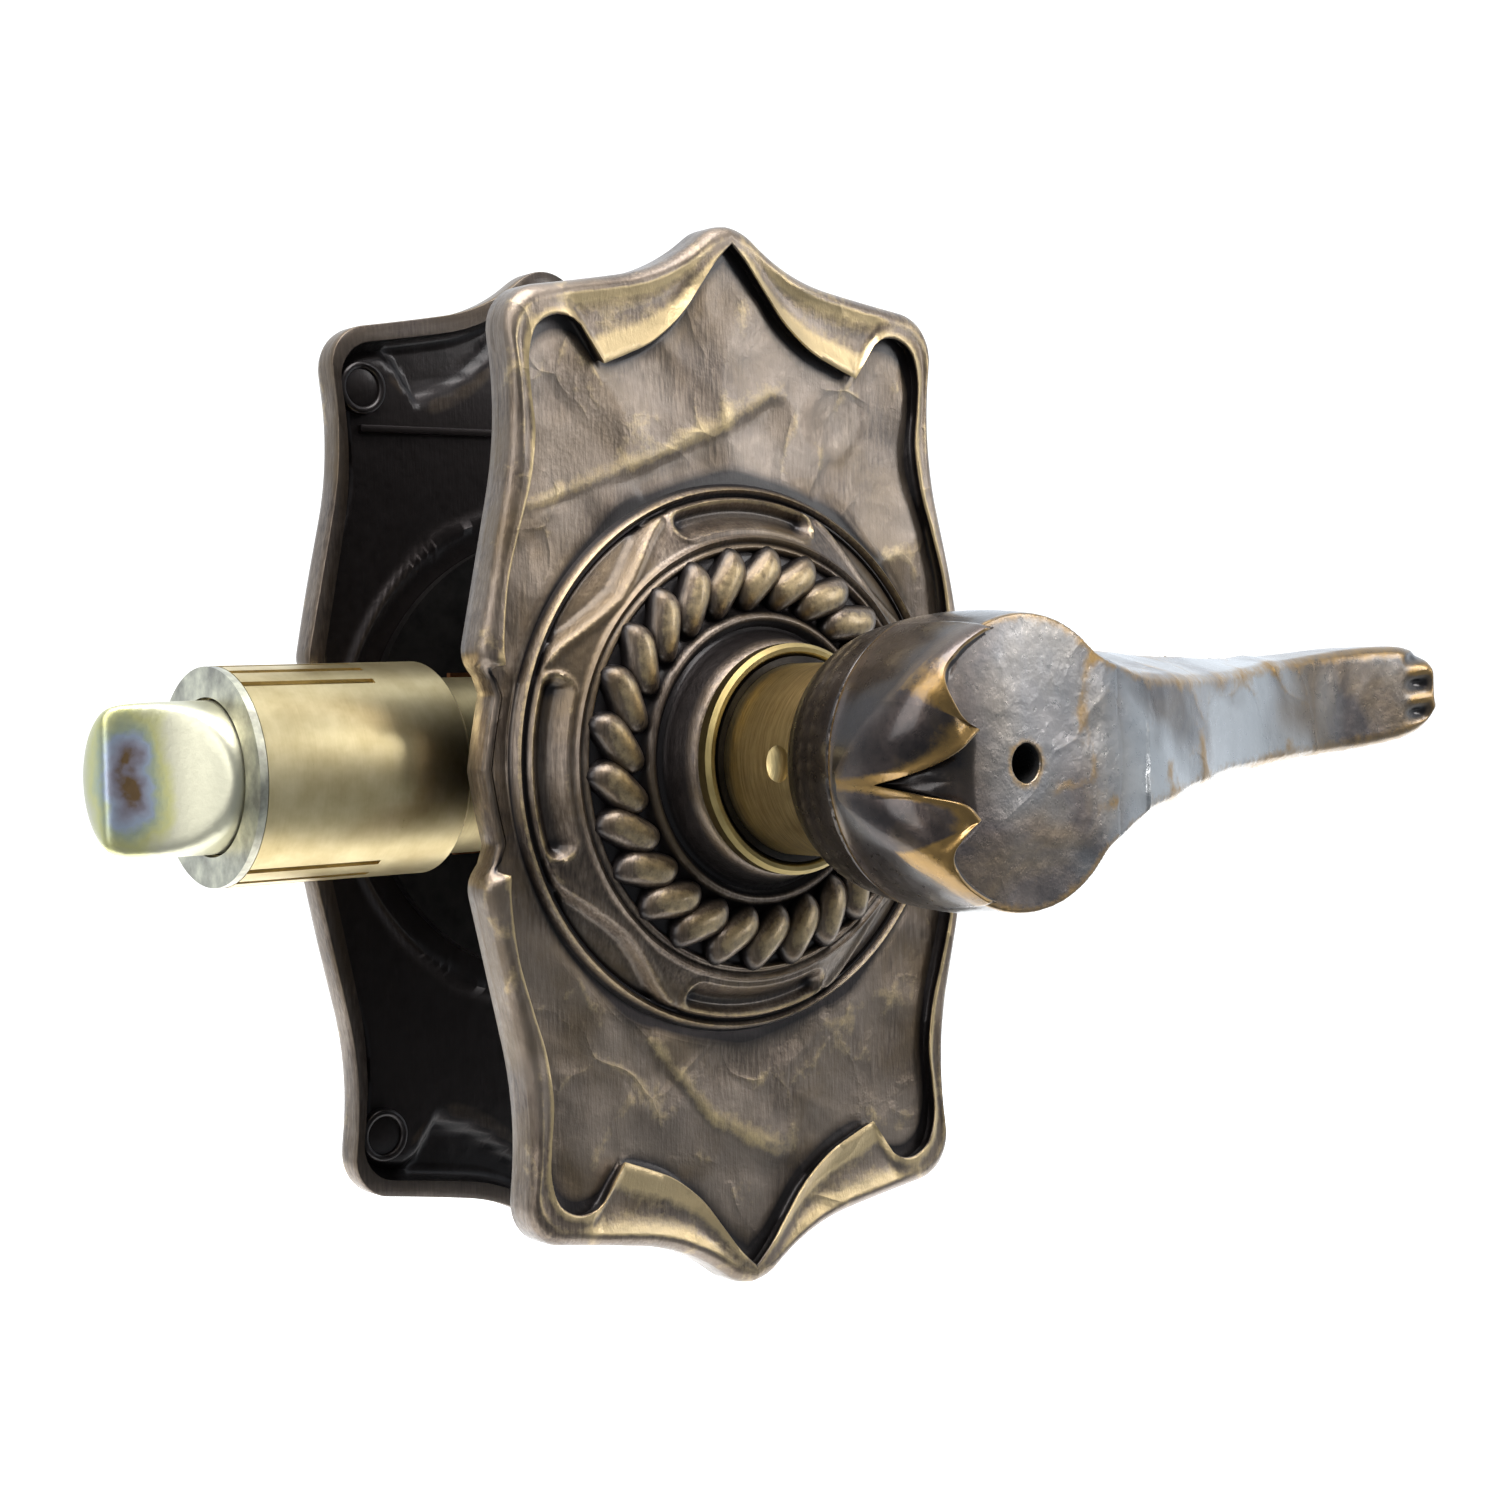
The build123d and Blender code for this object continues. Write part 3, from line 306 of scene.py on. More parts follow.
finishes = {
    "plate_bronze": antique_bronze(
        "antique_bronze_plate", ("#40352d", "#625549", "#807264"), "#84776b", "#b8a27a", 0.42, 0.3, 1.0
    ),
    "lever_bronze": antique_bronze(
        "antique_bronze_lever", ("#2b2423", "#443a36", "#5c514b"), "#a3a6a8", "#856839", 0.31, 0.55, 0.0
    ),
    "shank_brass": turned_brass("brushed_olive_brass", "#94815a", "#cdb988", 0.36, "Y", 0.7),
    "ring_brass": turned_brass("satin_ring_brass", "#6f6140", "#9b8a5c", 0.42, "Y", 0.3),
    "collar_brass": turned_brass("drawn_collar_brass", "#b3a074", "#d0bf94", 0.3, "X", 0.15),
    "barrel_zinc": turned_brass("yellow_zinc_tube", "#8b7c58", "#b0a078", 0.32, "X", 0.3),
    "case_copper": plated_steel("copper_plated_case", ("#6b4226", "#8d5d38"), 0.36),
    "face_steel": plated_steel("satin_face_steel", ("#8a877c", "#b0ad9c", "#d4d1ba"), 0.34, 0.5),
    "bolt_zinc": chromated_bolt("yellow_chromated_zinc", (-70.4, -2.4, 0.0)),
    "works_steel": plated_steel("bright_zinc_plate", ("#7a7c80", "#94969a"), 0.36),
    "spring_steel": plated_steel("drawn_spring_wire", ("#4b4a48", "#6a6967"), 0.38),
}
black_steel = plated_steel("black_phosphated_steel", ("#262423", "#353230"), 0.42)
node_slot = {s["node"]: s["material_slot"] for s in frame["record"]["subparts"]}
node_body = {n: b for b, ns in frame["record"]["behaviour"]["bodies"].items() for n in ns}


# Modelling
def select_only(piece):
    bpy.ops.object.select_all(action="DESELECT")
    piece.select_set(True)
    bpy.context.view_layer.objects.active = piece


def apply_modifier(piece, kind, **settings):
    select_only(piece)
    modifier = piece.modifiers.new(kind.lower(), kind)
    for key, value in settings.items():
        setattr(modifier, key, value)
    bpy.ops.object.modifier_apply(modifier=modifier.name)


def merge_points(piece, outwards=False):
    """Merges the points that meet and, if asked, turns every face outwards."""
    select_only(piece)
    bpy.ops.object.mode_set(mode="EDIT")
    bpy.ops.mesh.select_all(action="SELECT")
    bpy.ops.mesh.remove_doubles(threshold=0.002 * MM)
    if outwards:
        bpy.ops.mesh.normals_make_consistent(inside=False)
    bpy.ops.object.mode_set(mode="OBJECT")


def joined(parts, name):
    """One piece made of several."""
    select_only(parts[-1])
    for part in parts:
        part.select_set(True)
    bpy.ops.object.join()
    piece = bpy.context.object
    piece.name = name
    return piece


def finish_piece(piece, node, slot=None):
    """Gives a piece its finish and lets it ride on the node's body in the node's place."""
    slot = slot or node_slot[node]
    piece.data.materials.clear()
    piece.data.materials.append(finishes[slot])
    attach(piece, node_body[node])
    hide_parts(node)


def copy_of(node, name):
    """The CAD node's shape as a piece of its own, its loose triangles merged."""
    piece = frame["nodes"][node].copy()
    piece.data = piece.data.copy()
    piece.name = name
    piece.parent = None
    bpy.context.scene.collection.objects.link(piece)
    for key in list(piece.keys()):
        del piece[key]
    merge_points(piece)
    return piece


def smooth_by_angle(piece, angle):
    select_only(piece)
    if piece.data.has_custom_normals:
        bpy.ops.mesh.customdata_custom_splitnormals_clear()
    bpy.ops.object.shade_smooth_by_angle(angle=radians(angle))


def points_of(piece):
    """The piece's points, in millimetres."""
    co = np.empty(len(piece.data.vertices) * 3)
    piece.data.vertices.foreach_get("co", co)
    return co.reshape(-1, 3) / MM


def move_points(piece, points):
    piece.data.vertices.foreach_set("co", (points * MM).ravel())
    piece.data.update()


def paint(piece, name, values):
    """Keeps values from 0 to 1 on the piece's points, for its material to read."""
    layer = piece.data.attributes.get(name) or piece.data.attributes.new(name, "FLOAT", "POINT")
    layer.data.foreach_set("value", np.clip(values, 0, 1))


def painted(piece, name):
    values = np.empty(len(piece.data.vertices))
    piece.data.attributes[name].data.foreach_get("value", values)
    return values


def normals_of(piece):
    normals = np.empty(len(piece.data.vertices) * 3)
    piece.data.vertices.foreach_get("normal", normals)
    return normals.reshape(-1, 3)


def standing(piece, passes):
    """How far each point stands over its surroundings, in millimetres."""
    points = points_of(piece)
    count = len(points)
    edges = np.empty(len(piece.data.edges) * 2, int)
    piece.data.edges.foreach_get("vertices", edges)
    a, b = edges.reshape(-1, 2).T
    ends, starts = np.concatenate((a, b)), np.concatenate((b, a))
    degree = np.maximum(np.bincount(ends, minlength=count), 1)

    def averaged(values):
        return np.stack(
            [np.bincount(ends, values[starts, k], count) / degree for k in range(values.shape[1])], 1
        )

    smooth = points
    for _ in range(passes):
        smooth = 0.5 * smooth + 0.5 * averaged(smooth)
    stand = ((points - smooth) * normals_of(piece)).sum(1, keepdims=True)
    for _ in range(4):
        stand = averaged(stand)
    return stand[:, 0]


# Plates: the outline is a chain of arcs that run on into each other, as on the solid
TALL, WIDE = 64.0, 36.9


def arc_on(path, end, tangent, steps=14):
    """Adds an arc to path from its last point to end, leaving along tangent. Returns the
    direction in which it arrives."""
    start, end, tangent = np.array(path[-1]), np.array(end), np.array(tangent)
    chord = end - start
    length = np.linalg.norm(chord)
    normal = np.array((-tangent[1], tangent[0]))
    bend = 2 * normal.dot(chord) / chord.dot(chord)
    turn = 2 * np.arctan2(bend * length / 2, tangent.dot(chord) / length)
    for i in range(1, steps + 1):
        t = turn * i / steps
        if abs(turn) < 1e-6:
            path.append(tuple(start + chord * i / steps))
        else:
            path.append(tuple(start + (tangent * sin(t) + normal * (1 - cos(t))) / bend))
    return tangent * cos(turn) + normal * sin(turn)


def quarter_outline():
    """The plate's outline from its top point to its side, by shares of its half width and height."""
    path = [(0, TALL)]
    tangent = np.array((1.0, 0.0))
    for end in (
        (0.1, 0.98),
        (0.434, 0.894),
        (0.76, 0.864),
        (0.877, 0.773),
        (0.894, 0.494),
        (1.0, 0.225),
        (0.968, 0.17),
    ):
        tangent = arc_on(path, (end[0] * WIDE, end[1] * TALL), tangent)
    path.append((0.945 * WIDE, 0.135 * TALL))
    for t in np.linspace(0, 1, 12)[1:]:
        path.append(((0.945 + 0.06 * t - 0.013 * t * t) * WIDE, 0.135 * TALL * (1 - t)))
    return np.array(path)


# Inner edge of the folded ribbon, the pocket behind its curl, and the side rim
RIBBON_EDGE = (
    (0.0, 62.0),
    (2.4, 59.8),
    (5.0, 56.6),
    (8.0, 53.0),
    (12.0, 49.9),
    (16.0, 48.1),
    (20.0, 46.6),
    (20.9, 48.9),
    (22.0, 50.6),
    (24.0, 51.9),
    (26.5, 52.0),
    (28.9, 50.4),
    (29.9, 47.0),
    (29.7, 43.0),
    (29.3, 38.5),
    (30.1, 33.0),
    (31.8, 27.7),
    (33.6, 21.5),
    (34.4, 15.0),
    (34.3, 12.0),
)


def polar_radius(line, angles):
    """Radius of a line at each angle, for a line that goes once round a quarter."""
    line = np.array(line)
    at = np.arctan2(line[:, 1], line[:, 0])
    order = np.argsort(at)
    return np.interp(angles, at[order], np.hypot(line[:, 0], line[:, 1])[order])


def smooth_line(points, steps=8):
    """Points of a curve through the given ones."""
    points = np.array(points, float)
    ends = np.vstack((2 * points[0] - points[1], points, 2 * points[-1] - points[-2]))
    out = []
    for i in range(1, len(ends) - 2):
        p0, p1, p2, p3 = ends[i - 1 : i + 3]
        for t in np.arange(steps) / steps:
            out.append(
                0.5
                * (
                    2 * p1
                    + (p2 - p0) * t
                    + (2 * p0 - 5 * p1 + 4 * p2 - p3) * t**2
                    + (3 * p1 - p0 - 3 * p2 + p3) * t**3
                )
            )
    out.append(points[-1])
    return np.array(out)


def ease(value, low, high):
    t = np.clip((value - low) / (high - low), 0, 1)
    return t * t * (3 - 2 * t)


# Profile of the rosette, from the bore outwards: radius and depth off the door
ROSETTE = (
    (12.25, 12.9),
    (12.6, 13.4),
    (13.5, 13.4),
    (14.0, 12.7),
    (14.6, 10.6),
    (15.2, 8.7),
    (15.8, 8.3),
    (16.25, 8.9),
    (16.7, 9.4),
    (17.2, 9.2),
    (17.8, 8.1),
    (18.4, 7.6),
    (24.1, 7.5),
    (24.65, 7.2),
    (24.95, 7.75),
    (25.3, 8.0),
    (25.65, 7.6),
    (25.85, 7.4),
    (26.05, 7.65),
    (26.4, 7.9),
    (26.8, 7.3),
    (27.1, 7.1),
    (31.2, 5.0),
    (31.55, 3.9),
    (31.9, 4.4),
    (32.3, 4.8),
    (32.7, 4.3),
    (33.1, 3.4),
)
BORE = ROSETTE[0][0]
BED = 18.4, 24.1
ROSETTE_EDGE = 33.1
# Middle radius and half width of the slots, and how far off the axes they end, in degrees
SLOT_RADIUS, SLOT_HALF_WIDTH, SLOT_ENDS = 29.3, 1.75, 17.5
# Edge of the leaf scoops: degrees off the diagonal, and radius
SCOOP_ANGLES = (0, 6, 12, 18, 24)
SCOOP_EDGES = (27.4, 27.9, 28.9, 30.3, 31.6)
# Depths off the door of the field and of the ribbons and rims
FIELD = 3.4
RIM = 5.0


def rosette_relief(radius, angle):
    """Depth of the rosette at a radius and angle, with its slots and leaf scoops."""
    r, w = np.array(ROSETTE).T
    depth = np.interp(radius, r, w)
    quarter = np.mod(angle, pi / 2)
    off_axis = np.degrees(np.minimum(quarter, pi / 2 - quarter))
    along = np.maximum(off_axis - SLOT_ENDS, 0) * radians(1) * 29.5
    inside_slot = SLOT_HALF_WIDTH - np.hypot(radius - SLOT_RADIUS, along)
    depth = depth + 0.28 * np.exp(-(((inside_slot + 0.2) / 0.3) ** 2))
    depth = depth - 1.5 * ease(inside_slot, 0.0, 1.5)
    off_diagonal = 45 - off_axis
    edge = np.interp(off_diagonal, SCOOP_ANGLES, SCOOP_EDGES)
    scoop = (radius - edge) * (off_diagonal < 24) * (radius < 31.5)
    rolled = np.exp(-((np.abs(radius - edge + 0.2) / 0.6) ** 2))
    depth = depth + 0.32 * rolled * (off_diagonal < 23) * (radius < 31.4)
    return depth - 1.0 * ease(scoop, 0.1, 1.5) * (radius < 31.45)


def rosette_lean(radius):
    """How much more or less gold a ring of the rosette has than its form alone gives it."""
    rings = (12.2, 13.6, 14.2, 18.2, 18.6, 24.4, 24.9, 26.6, 27.2, 31.3, 31.5, 31.9, 32.4, 33.1)
    leans = (-5, -6, -18, -12, -18, -18, -5, -5, -3, -3, -14, -4, -4, -10)
    return np.interp(radius, rings, leans) / 100


# Two sharp folds of the field: each as points across and up, from one end to the other
FOLDS = (
    ((-27.8, 29.9), (-19.3, 32.8), (-12.4, 34.9), (0.3, 40.0), (7.1, 43.5)),
    ((-14.0, -33.5), (-5.3, -43.6), (4.9, -49.5)),
)


def creases(points, size):
    """How deep each point lies between the folds of a crumpled sheet: 0 on a fold."""
    places = [Vector(point) / size for point in points]
    deep = [abs(noise.noise(place)) + 0.4 * abs(noise.noise(2.3 * place)) for place in places]
    return np.array(deep)


def field_relief(x, z):
    """Height of the plate's field over its mean, pressed in between folds and stepped at two,
    and how much more gold its folds have."""
    deep = creases(np.stack((x, 0 * x, z), 1), 24)
    relief = -np.clip(0.85 * deep, 0, 0.5)
    gilt = 0.04 * np.exp(-((deep / 0.04) ** 2))
    for fold in FOLDS:
        across, up = np.array(fold).T
        over = z - np.interp(x, across, up)
        along = ease(x, across[0] - 4, across[0] + 1)
        along = along * (1 - ease(x, across[-1] - 1, across[-1] + 5))
        relief = relief + 0.2 * np.tanh(over / 0.5) * np.exp(-((over / 5) ** 2)) * along
        gilt = gilt + 0.04 * np.exp(-((over - 0.5) ** 2)) * along
    return relief, gilt


PLATE_COLUMNS = 560


def plate_rows(angles):
    """The plate's section at each angle, as rows that go once round it: the radius, the depth
    off the door and the lean of every row. Lean is how much the row is rubbed to gold; below
    naught it is how much darker the row is painted, as patina in the hollows and as painted
    shade under the ribbons' overhang, along the field's edges and down the rim's outer slope."""
    quarter = np.abs(np.arctan2(np.abs(np.sin(angles)), np.abs(np.cos(angles))))
    outline = polar_radius(quarter_outline(), quarter)
    corner = smooth_line(RIBBON_EDGE[:7]), smooth_line(RIBBON_EDGE[6:])
    edge = polar_radius(np.vstack((corner[0], corner[1][1:])), quarter)
    rimmed = ease(np.degrees(quarter), 17.5, 19.5)
    edge = np.minimum(edge, outline - 1.0)
    edge = edge * rimmed + (outline - 1.3) * (1 - rimmed)
    crest = FIELD + (RIM - FIELD) * rimmed
    ones = np.ones_like(angles)
    rows = [(BORE * ones, 11.8 * ones, -0.1 * ones)]
    spread = (
        np.linspace(BORE, BED[0], 24),
        np.linspace(BED[0] + 1, BED[1], 5),
        np.linspace(BED[1] + 0.3, ROSETTE_EDGE, 44),
    )
    for radius in np.concatenate(spread):
        rows.append((radius * ones, rosette_relief(radius, angles), rosette_lean(radius) * ones))
    # The field, pressed in between its folds, with a shadow along both of its edges
    for share in np.linspace(0, 1, 34)[1:]:
        shadow = -0.1 * ease(share, 0.93, 1.0) - 0.05 * (1 - ease(share, 0.0, 0.12))
        radius = ROSETTE_EDGE + (edge - ROSETTE_EDGE) * share
        fade = ease(share, 0.02, 0.12) * (1 - ease(share, 0.94, 1.0))
        relief, gilt = field_relief(radius * np.cos(angles), radius * np.sin(angles))
        rows.append((radius, FIELD + relief * fade, gilt * fade + shadow))
    # The ribbons and rims overhang the field, sag across and round over at the outline
    overhang = 0.35 * rimmed
    # The foot of the overhang and the wall under it are painted darker: painted shade under the overhang
    rows.append((edge + 0.15, FIELD + 0.35 * (crest - FIELD), -0.2 * ones))
    rows.append((edge - overhang * 0.6, FIELD + 0.7 * (crest - FIELD), -0.12 * ones))
    rows.append((edge - overhang, FIELD + 0.9 * (crest - FIELD), 0.02 * ones))
    width = outline - edge
    rounding = np.minimum(2.0, 0.75 * width)
    flat = width - rounding
    ribbon = ease(width, 3.0, 7.0)
    for share in (0, 0.12, 0.26, 0.42, 0.6, 0.8, 1.0):
        sag = -0.75 * sin(pi * min(1, share * 0.9)) * ribbon
        lean = ribbon * (0.2 - 0.11 * share) + (1 - ribbon) * (0.03 - 0.1 * share)
        lean = lean - 0.06 * (1 - rimmed)
        radius = edge - overhang * (1 - share) ** 2 * 0.8 + flat * share + 0.1
        rows.append((radius, crest + sag * (crest - FIELD) / (RIM - FIELD), lean))
    # The rim rounds over to the outline, its outer slope painted darker: painted shade
    drop = 1.6 + 0.5 * (rimmed > 0.5)
    for turn in (0.3, 0.6, 0.9, 1.2, pi / 2):
        radius = outline - rounding + rounding * sin(turn)
        rows.append((radius, crest - drop * (1 - cos(turn)), -0.085 * ones))
    for depth in (1.6, 0.15):
        rows.append((outline, np.minimum(depth, crest - drop) * ones, -0.1 * ones))
    # The hollow back: a raised rim, the backs of the ribbons, a round rib and the boss
    inner = outline - 2.2
    rows.append((outline - 0.15, 0 * ones, -0.2 * ones))
    rows.append((inner, 0 * ones, -0.2 * ones))
    rows.append((inner, 1.5 * ones, -0.2 * ones))
    for share in np.linspace(0, 1, 31)[1:]:
        radius = inner + (26.0 - inner) * share
        under_ribbon = 1.2 * ease(radius - edge, -0.6, 0.6) * rimmed
        rib = 0.7 * np.exp(-(((radius - 32.5) / 0.7) ** 2))
        rows.append((radius, 1.8 + under_ribbon - rib, -0.2 * ones))
    rows.append((26.0 * ones, 4.8 * ones, -0.2 * ones))
    rows.append((15.0 * ones, 6.0 * ones, -0.2 * ones))
    rows.append((BORE * ones, 9.5 * ones, -0.2 * ones))
    return rows


def plate(side, name, node):
    """A plate, from a ring whose every row of points is moved to its place on the casting."""
    angles = 2 * pi * np.arange(PLATE_COLUMNS) / PLATE_COLUMNS
    rows = plate_rows(angles)
    bpy.ops.object.select_all(action="DESELECT")
    bpy.ops.mesh.primitive_grid_add(
        x_subdivisions=PLATE_COLUMNS, y_subdivisions=len(rows), size=0.1
    )
    piece = bpy.context.object
    piece.name = name
    # The grid wraps on to itself both ways, and its seams are merged below
    rows.append(rows[0])
    radius, depth, lean = (np.array(part) for part in zip(*rows))
    x, z = radius * np.cos(angles), radius * np.sin(angles)
    grid = np.stack((x, -(DOOR_FACE + depth), z), 2)
    grid = np.concatenate((grid, grid[:, :1]), 1)
    lean = np.concatenate((lean, lean[:, :1]), 1)
    points = grid.reshape(-1, 3)
    if side < 0:
        points[:, 1] *= -1
    move_points(piece, points)
    paint(piece, "lean", 0.5 + lean.ravel())
    merge_points(piece, outwards=True)
    smooth_by_angle(piece, 60)
    paint(piece, "wear_and_shade", painted(piece, "lean") + np.clip(1.2 * standing(piece, 8), -0.16, 0.1))
    points = points_of(piece)
    away = np.hypot(points[:, 0], points[:, 2])
    front = side * -points[:, 1] - DOOR_FACE
    paint(piece, "crease_and_sheen", 0.85 * ease(away, 32.6, 35.0) * ease(front, 2.6, 3.2))
    finish_piece(piece, node)


BOSS_ACROSS, BOSS_UP, BOSS_RADIUS = 27.7, 47.6, 3.4
RIB_UP, RIB_LENGTH = 42.5, 56
MARK_DEPTH = 1.6


def back_marks(side, name, node):
    """Round bosses near the corners of the plate's hollow back and the rib across it."""
    bpy.ops.object.select_all(action="DESELECT")
    parts = []
    facing_door = (pi / 2, 0, 0)
    marks = -side * (DOOR_FACE + MARK_DEPTH) * MM
    rings = -side * (DOOR_FACE + 1.0) * MM
    for x in (-BOSS_ACROSS * MM, BOSS_ACROSS * MM):
        for z in (-BOSS_UP * MM, BOSS_UP * MM):
            bpy.ops.mesh.primitive_cylinder_add(
                vertices=48,
                radius=BOSS_RADIUS * MM,
                depth=1.2 * MM,
                location=(x, marks, z),
                rotation=facing_door,
            )
            parts.append(bpy.context.object)
            bpy.ops.mesh.primitive_torus_add(
                major_radius=(BOSS_RADIUS - 0.5) * MM,
                minor_radius=0.5 * MM,
                major_segments=48,
                location=(x, rings, z),
                rotation=facing_door,
            )
            parts.append(bpy.context.object)
    bpy.ops.mesh.primitive_cube_add(
        size=MM, location=(0, marks, RIB_UP * MM), scale=(RIB_LENGTH, 1.2, 0.9)
    )
    parts.append(bpy.context.object)
    piece = joined(parts, name)
    bpy.ops.object.transform_apply(location=True, rotation=True, scale=True)
    apply_modifier(piece, "BEVEL", width=0.25 * MM, segments=2, limit_method="ANGLE")
    smooth_by_angle(piece, 35)
    in_hollow = 0.36
    paint(piece, "wear_and_shade", np.full(len(piece.data.vertices), in_hollow))
    finish_piece(piece, node)


STRANDS, STRAND_LEAN = 26, 50
ROPE_RADIUS, ROPE_DEPTH = 21.35, 7.6


def rope(side, name, node):
    """Ring of slanted strands round the neck, in its bed on the rosette: dark between the
    strands and rubbed on their crowns."""
    bpy.ops.object.select_all(action="DESELECT")
    bpy.ops.mesh.primitive_uv_sphere_add(segments=24, ring_count=14, radius=MM)
    strand = bpy.context.object
    points = points_of(strand)
    # Pole to pole along the strand, then flattened, pointed and bent a little into an S
    along, across, up = points[:, 2].copy(), points[:, 0].copy(), points[:, 1].copy()
    rounder = np.sqrt(1 + along**2)
    a, b = 4.5 * along, 2.3 * across * rounder + 0.8 * along**3
    depth = ROPE_DEPTH + 2.5 * up * rounder**0.5
    copies = []
    for i in range(STRANDS):
        turn = 2 * pi * (i + 0.5) / STRANDS
        lean = turn - radians(STRAND_LEAN)
        c, s = cos(lean), sin(lean)
        x = ROPE_RADIUS * cos(turn) + c * a - s * b
        z = ROPE_RADIUS * sin(turn) + s * a + c * b
        one = strand.copy()
        one.data = strand.data.copy()
        bpy.context.scene.collection.objects.link(one)
        move_points(one, np.stack((x, -side * (DOOR_FACE + depth), z), 1))
        copies.append(one)
    bpy.data.objects.remove(strand)
    piece = joined(copies, name)
    merge_points(piece, outwards=True)
    bpy.ops.object.shade_smooth()
    depth = -side * points_of(piece)[:, 1] - DOOR_FACE
    paint(piece, "wear_and_shade", 0.35 + 0.22 * ease(depth, 8.2, 10.0))
    finish_piece(piece, node)


SIDES = (("outside", 1), ("inside", -1))
for trim, side in SIDES:
    node = f"{trim}_escutcheon"
    plate(side, f"{trim}_plate", node)
    rope(side, f"{trim}_rope_ring", node)
    back_marks(side, f"{trim}_plate_back", node)


def closed_band(name, points, values):
    """A closed skin through rows of points, each row wrapped into the next and the last into the
    first, with its two ends drawn together. values is kept on its points as their lean."""
    rows, columns = points.shape[:2]
    centre = points[:, (0, -1)].mean(0)
    first, last = (np.tile(end, (rows, 1))[:, None] for end in centre)
    points = np.concatenate((first, points, last), 1)
    points = np.concatenate((points, points[:1]))
    values = np.concatenate((values[:, :1], values, values[:, -1:]), 1)
    values = np.concatenate((values, values[:1]))
    bpy.ops.object.select_all(action="DESELECT")
    bpy.ops.mesh.primitive_grid_add(x_subdivisions=columns + 1, y_subdivisions=rows, size=0.1)
    piece = bpy.context.object
    piece.name = name
    move_points(piece, points.reshape(-1, 3))
    paint(piece, "lean", 0.5 + values.ravel())
    merge_points(piece, outwards=True)
    return piece


# The two petals that fold over the lever's head. Their lips run from the lower rim over a tip,
# down to the bottom of the valley and back over the other tip to the upper rim. They are given
# as distance towards the latch and height from a middle that sees each point once.
HEAD = 15.7
HEAD_MIDDLE = (-4.0, -1.4)
# Depths off the door: the petals' front, the bead on their lips, the field and the seam
HEAD_FRONT = 53.5
LIP = 0.38
HEAD_FIELD = 52.62
SEAM = 39.7
LOWER_LIP = (
    (10.2, -14.8),
    (13.0, -12.2),
    (14.9, -9.6),
    (15.2, -7.2),
    (13.8, -5.4),
    (12.1, -4.3),
)
VALLEY = (
    (12.1, -4.3),
    (14.0, -2.6),
    (16.8, -1.5),
    (19.35, -0.3),
    (17.4, 1.0),
    (14.8, 3.2),
    (12.1, 5.3),
)
UPPER_LIP = (
    (12.1, 5.3),
    (13.7, 6.1),
    (15.0, 7.4),
    (15.9, 9.4),
    (15.6, 11.8),
    (14.0, 14.0),
    (11.6, 15.6),
    (8.9, 16.8),
)
# How far in from the drum's side the skin rounds over, by the angle from the latch's side in
# degrees, and how much deeper than wide that rounding is
ROUND_ANGLES = (-60, -44, -33, -24, -15, -5, 3, 14, 22, 29, 42, 62)
ROUND_WIDTHS = (1.2, 1.4, 1.8, 3.4, 5.5, 8.0, 8.0, 5.8, 4.2, 2.8, 1.8, 1.2)
ROUND_RATIO = 1.6
# The valley between the petals: its bottom below the field, and the radii it slopes down over
VALLEY_DEPTH, VALLEY_FROM, VALLEY_TO = 10.6, 11.6, 20.8
SKIN_END = 10.3


def petal_lips(spacing=0.2):
    """Angle from the latch's side and radius of the lips, at even steps along them."""
    parts = (LOWER_LIP, VALLEY[:4], VALLEY[3:], UPPER_LIP)
    line = np.vstack([smooth_line(part)[:-1] for part in parts])
    run = np.concatenate(((0,), np.cumsum(np.hypot(*np.diff(line, axis=0).T))))
    steps = np.linspace(0, run[-1], int(run[-1] / spacing))
    x, z = np.interp(steps, run, line[:, 0]), np.interp(steps, run, line[:, 1])
    angle = np.maximum.accumulate(np.arctan2(z, x) + 1e-5 * np.arange(len(x)))
    free, rim = np.hypot(x, z), head_reach(angle) - 0.15
    return angle, -0.4 * np.log(np.exp(-free / 0.4) + np.exp(-rim / 0.4))


def head_reach(angle):
    """Distance from the petals' middle to the drum's side."""
    towards = HEAD_MIDDLE[0] * np.cos(angle) + HEAD_MIDDLE[1] * np.sin(angle)
    return np.sqrt(towards**2 - HEAD_MIDDLE[0] ** 2 - HEAD_MIDDLE[1] ** 2 + HEAD**2) - towards


def petal_skin(radius, angle):
    """Depth of the petals' skin: it rounds over from the drum's side to the front."""
    width = np.interp(np.degrees(angle), ROUND_ANGLES, ROUND_WIDTHS)
    share = np.clip(1 - (head_reach(angle) - radius) / width, 0, 1)
    return HEAD_FRONT - ROUND_RATIO * width * (1 - np.sqrt(1 - share**2))


def valley_floor(radius, angle):
    """Depth of the skin within the lips: level with the field, and down into the valley."""
    within = ease(25.0 - np.abs(np.degrees(angle) + 0.6), 0, 15)
    return HEAD_FIELD + 0.03 - VALLEY_DEPTH * ease(radius, VALLEY_FROM, VALLEY_TO) * within


def petal_front(radius, angle):
    """Depth of the petals' skin, or of the field and valley within their lips."""
    lip = np.interp(angle, *petal_lips())
    return np.where(radius > lip, petal_skin(radius, angle), valley_floor(radius, angle))


TIP_ANGLES = (-22.0, 20.0)


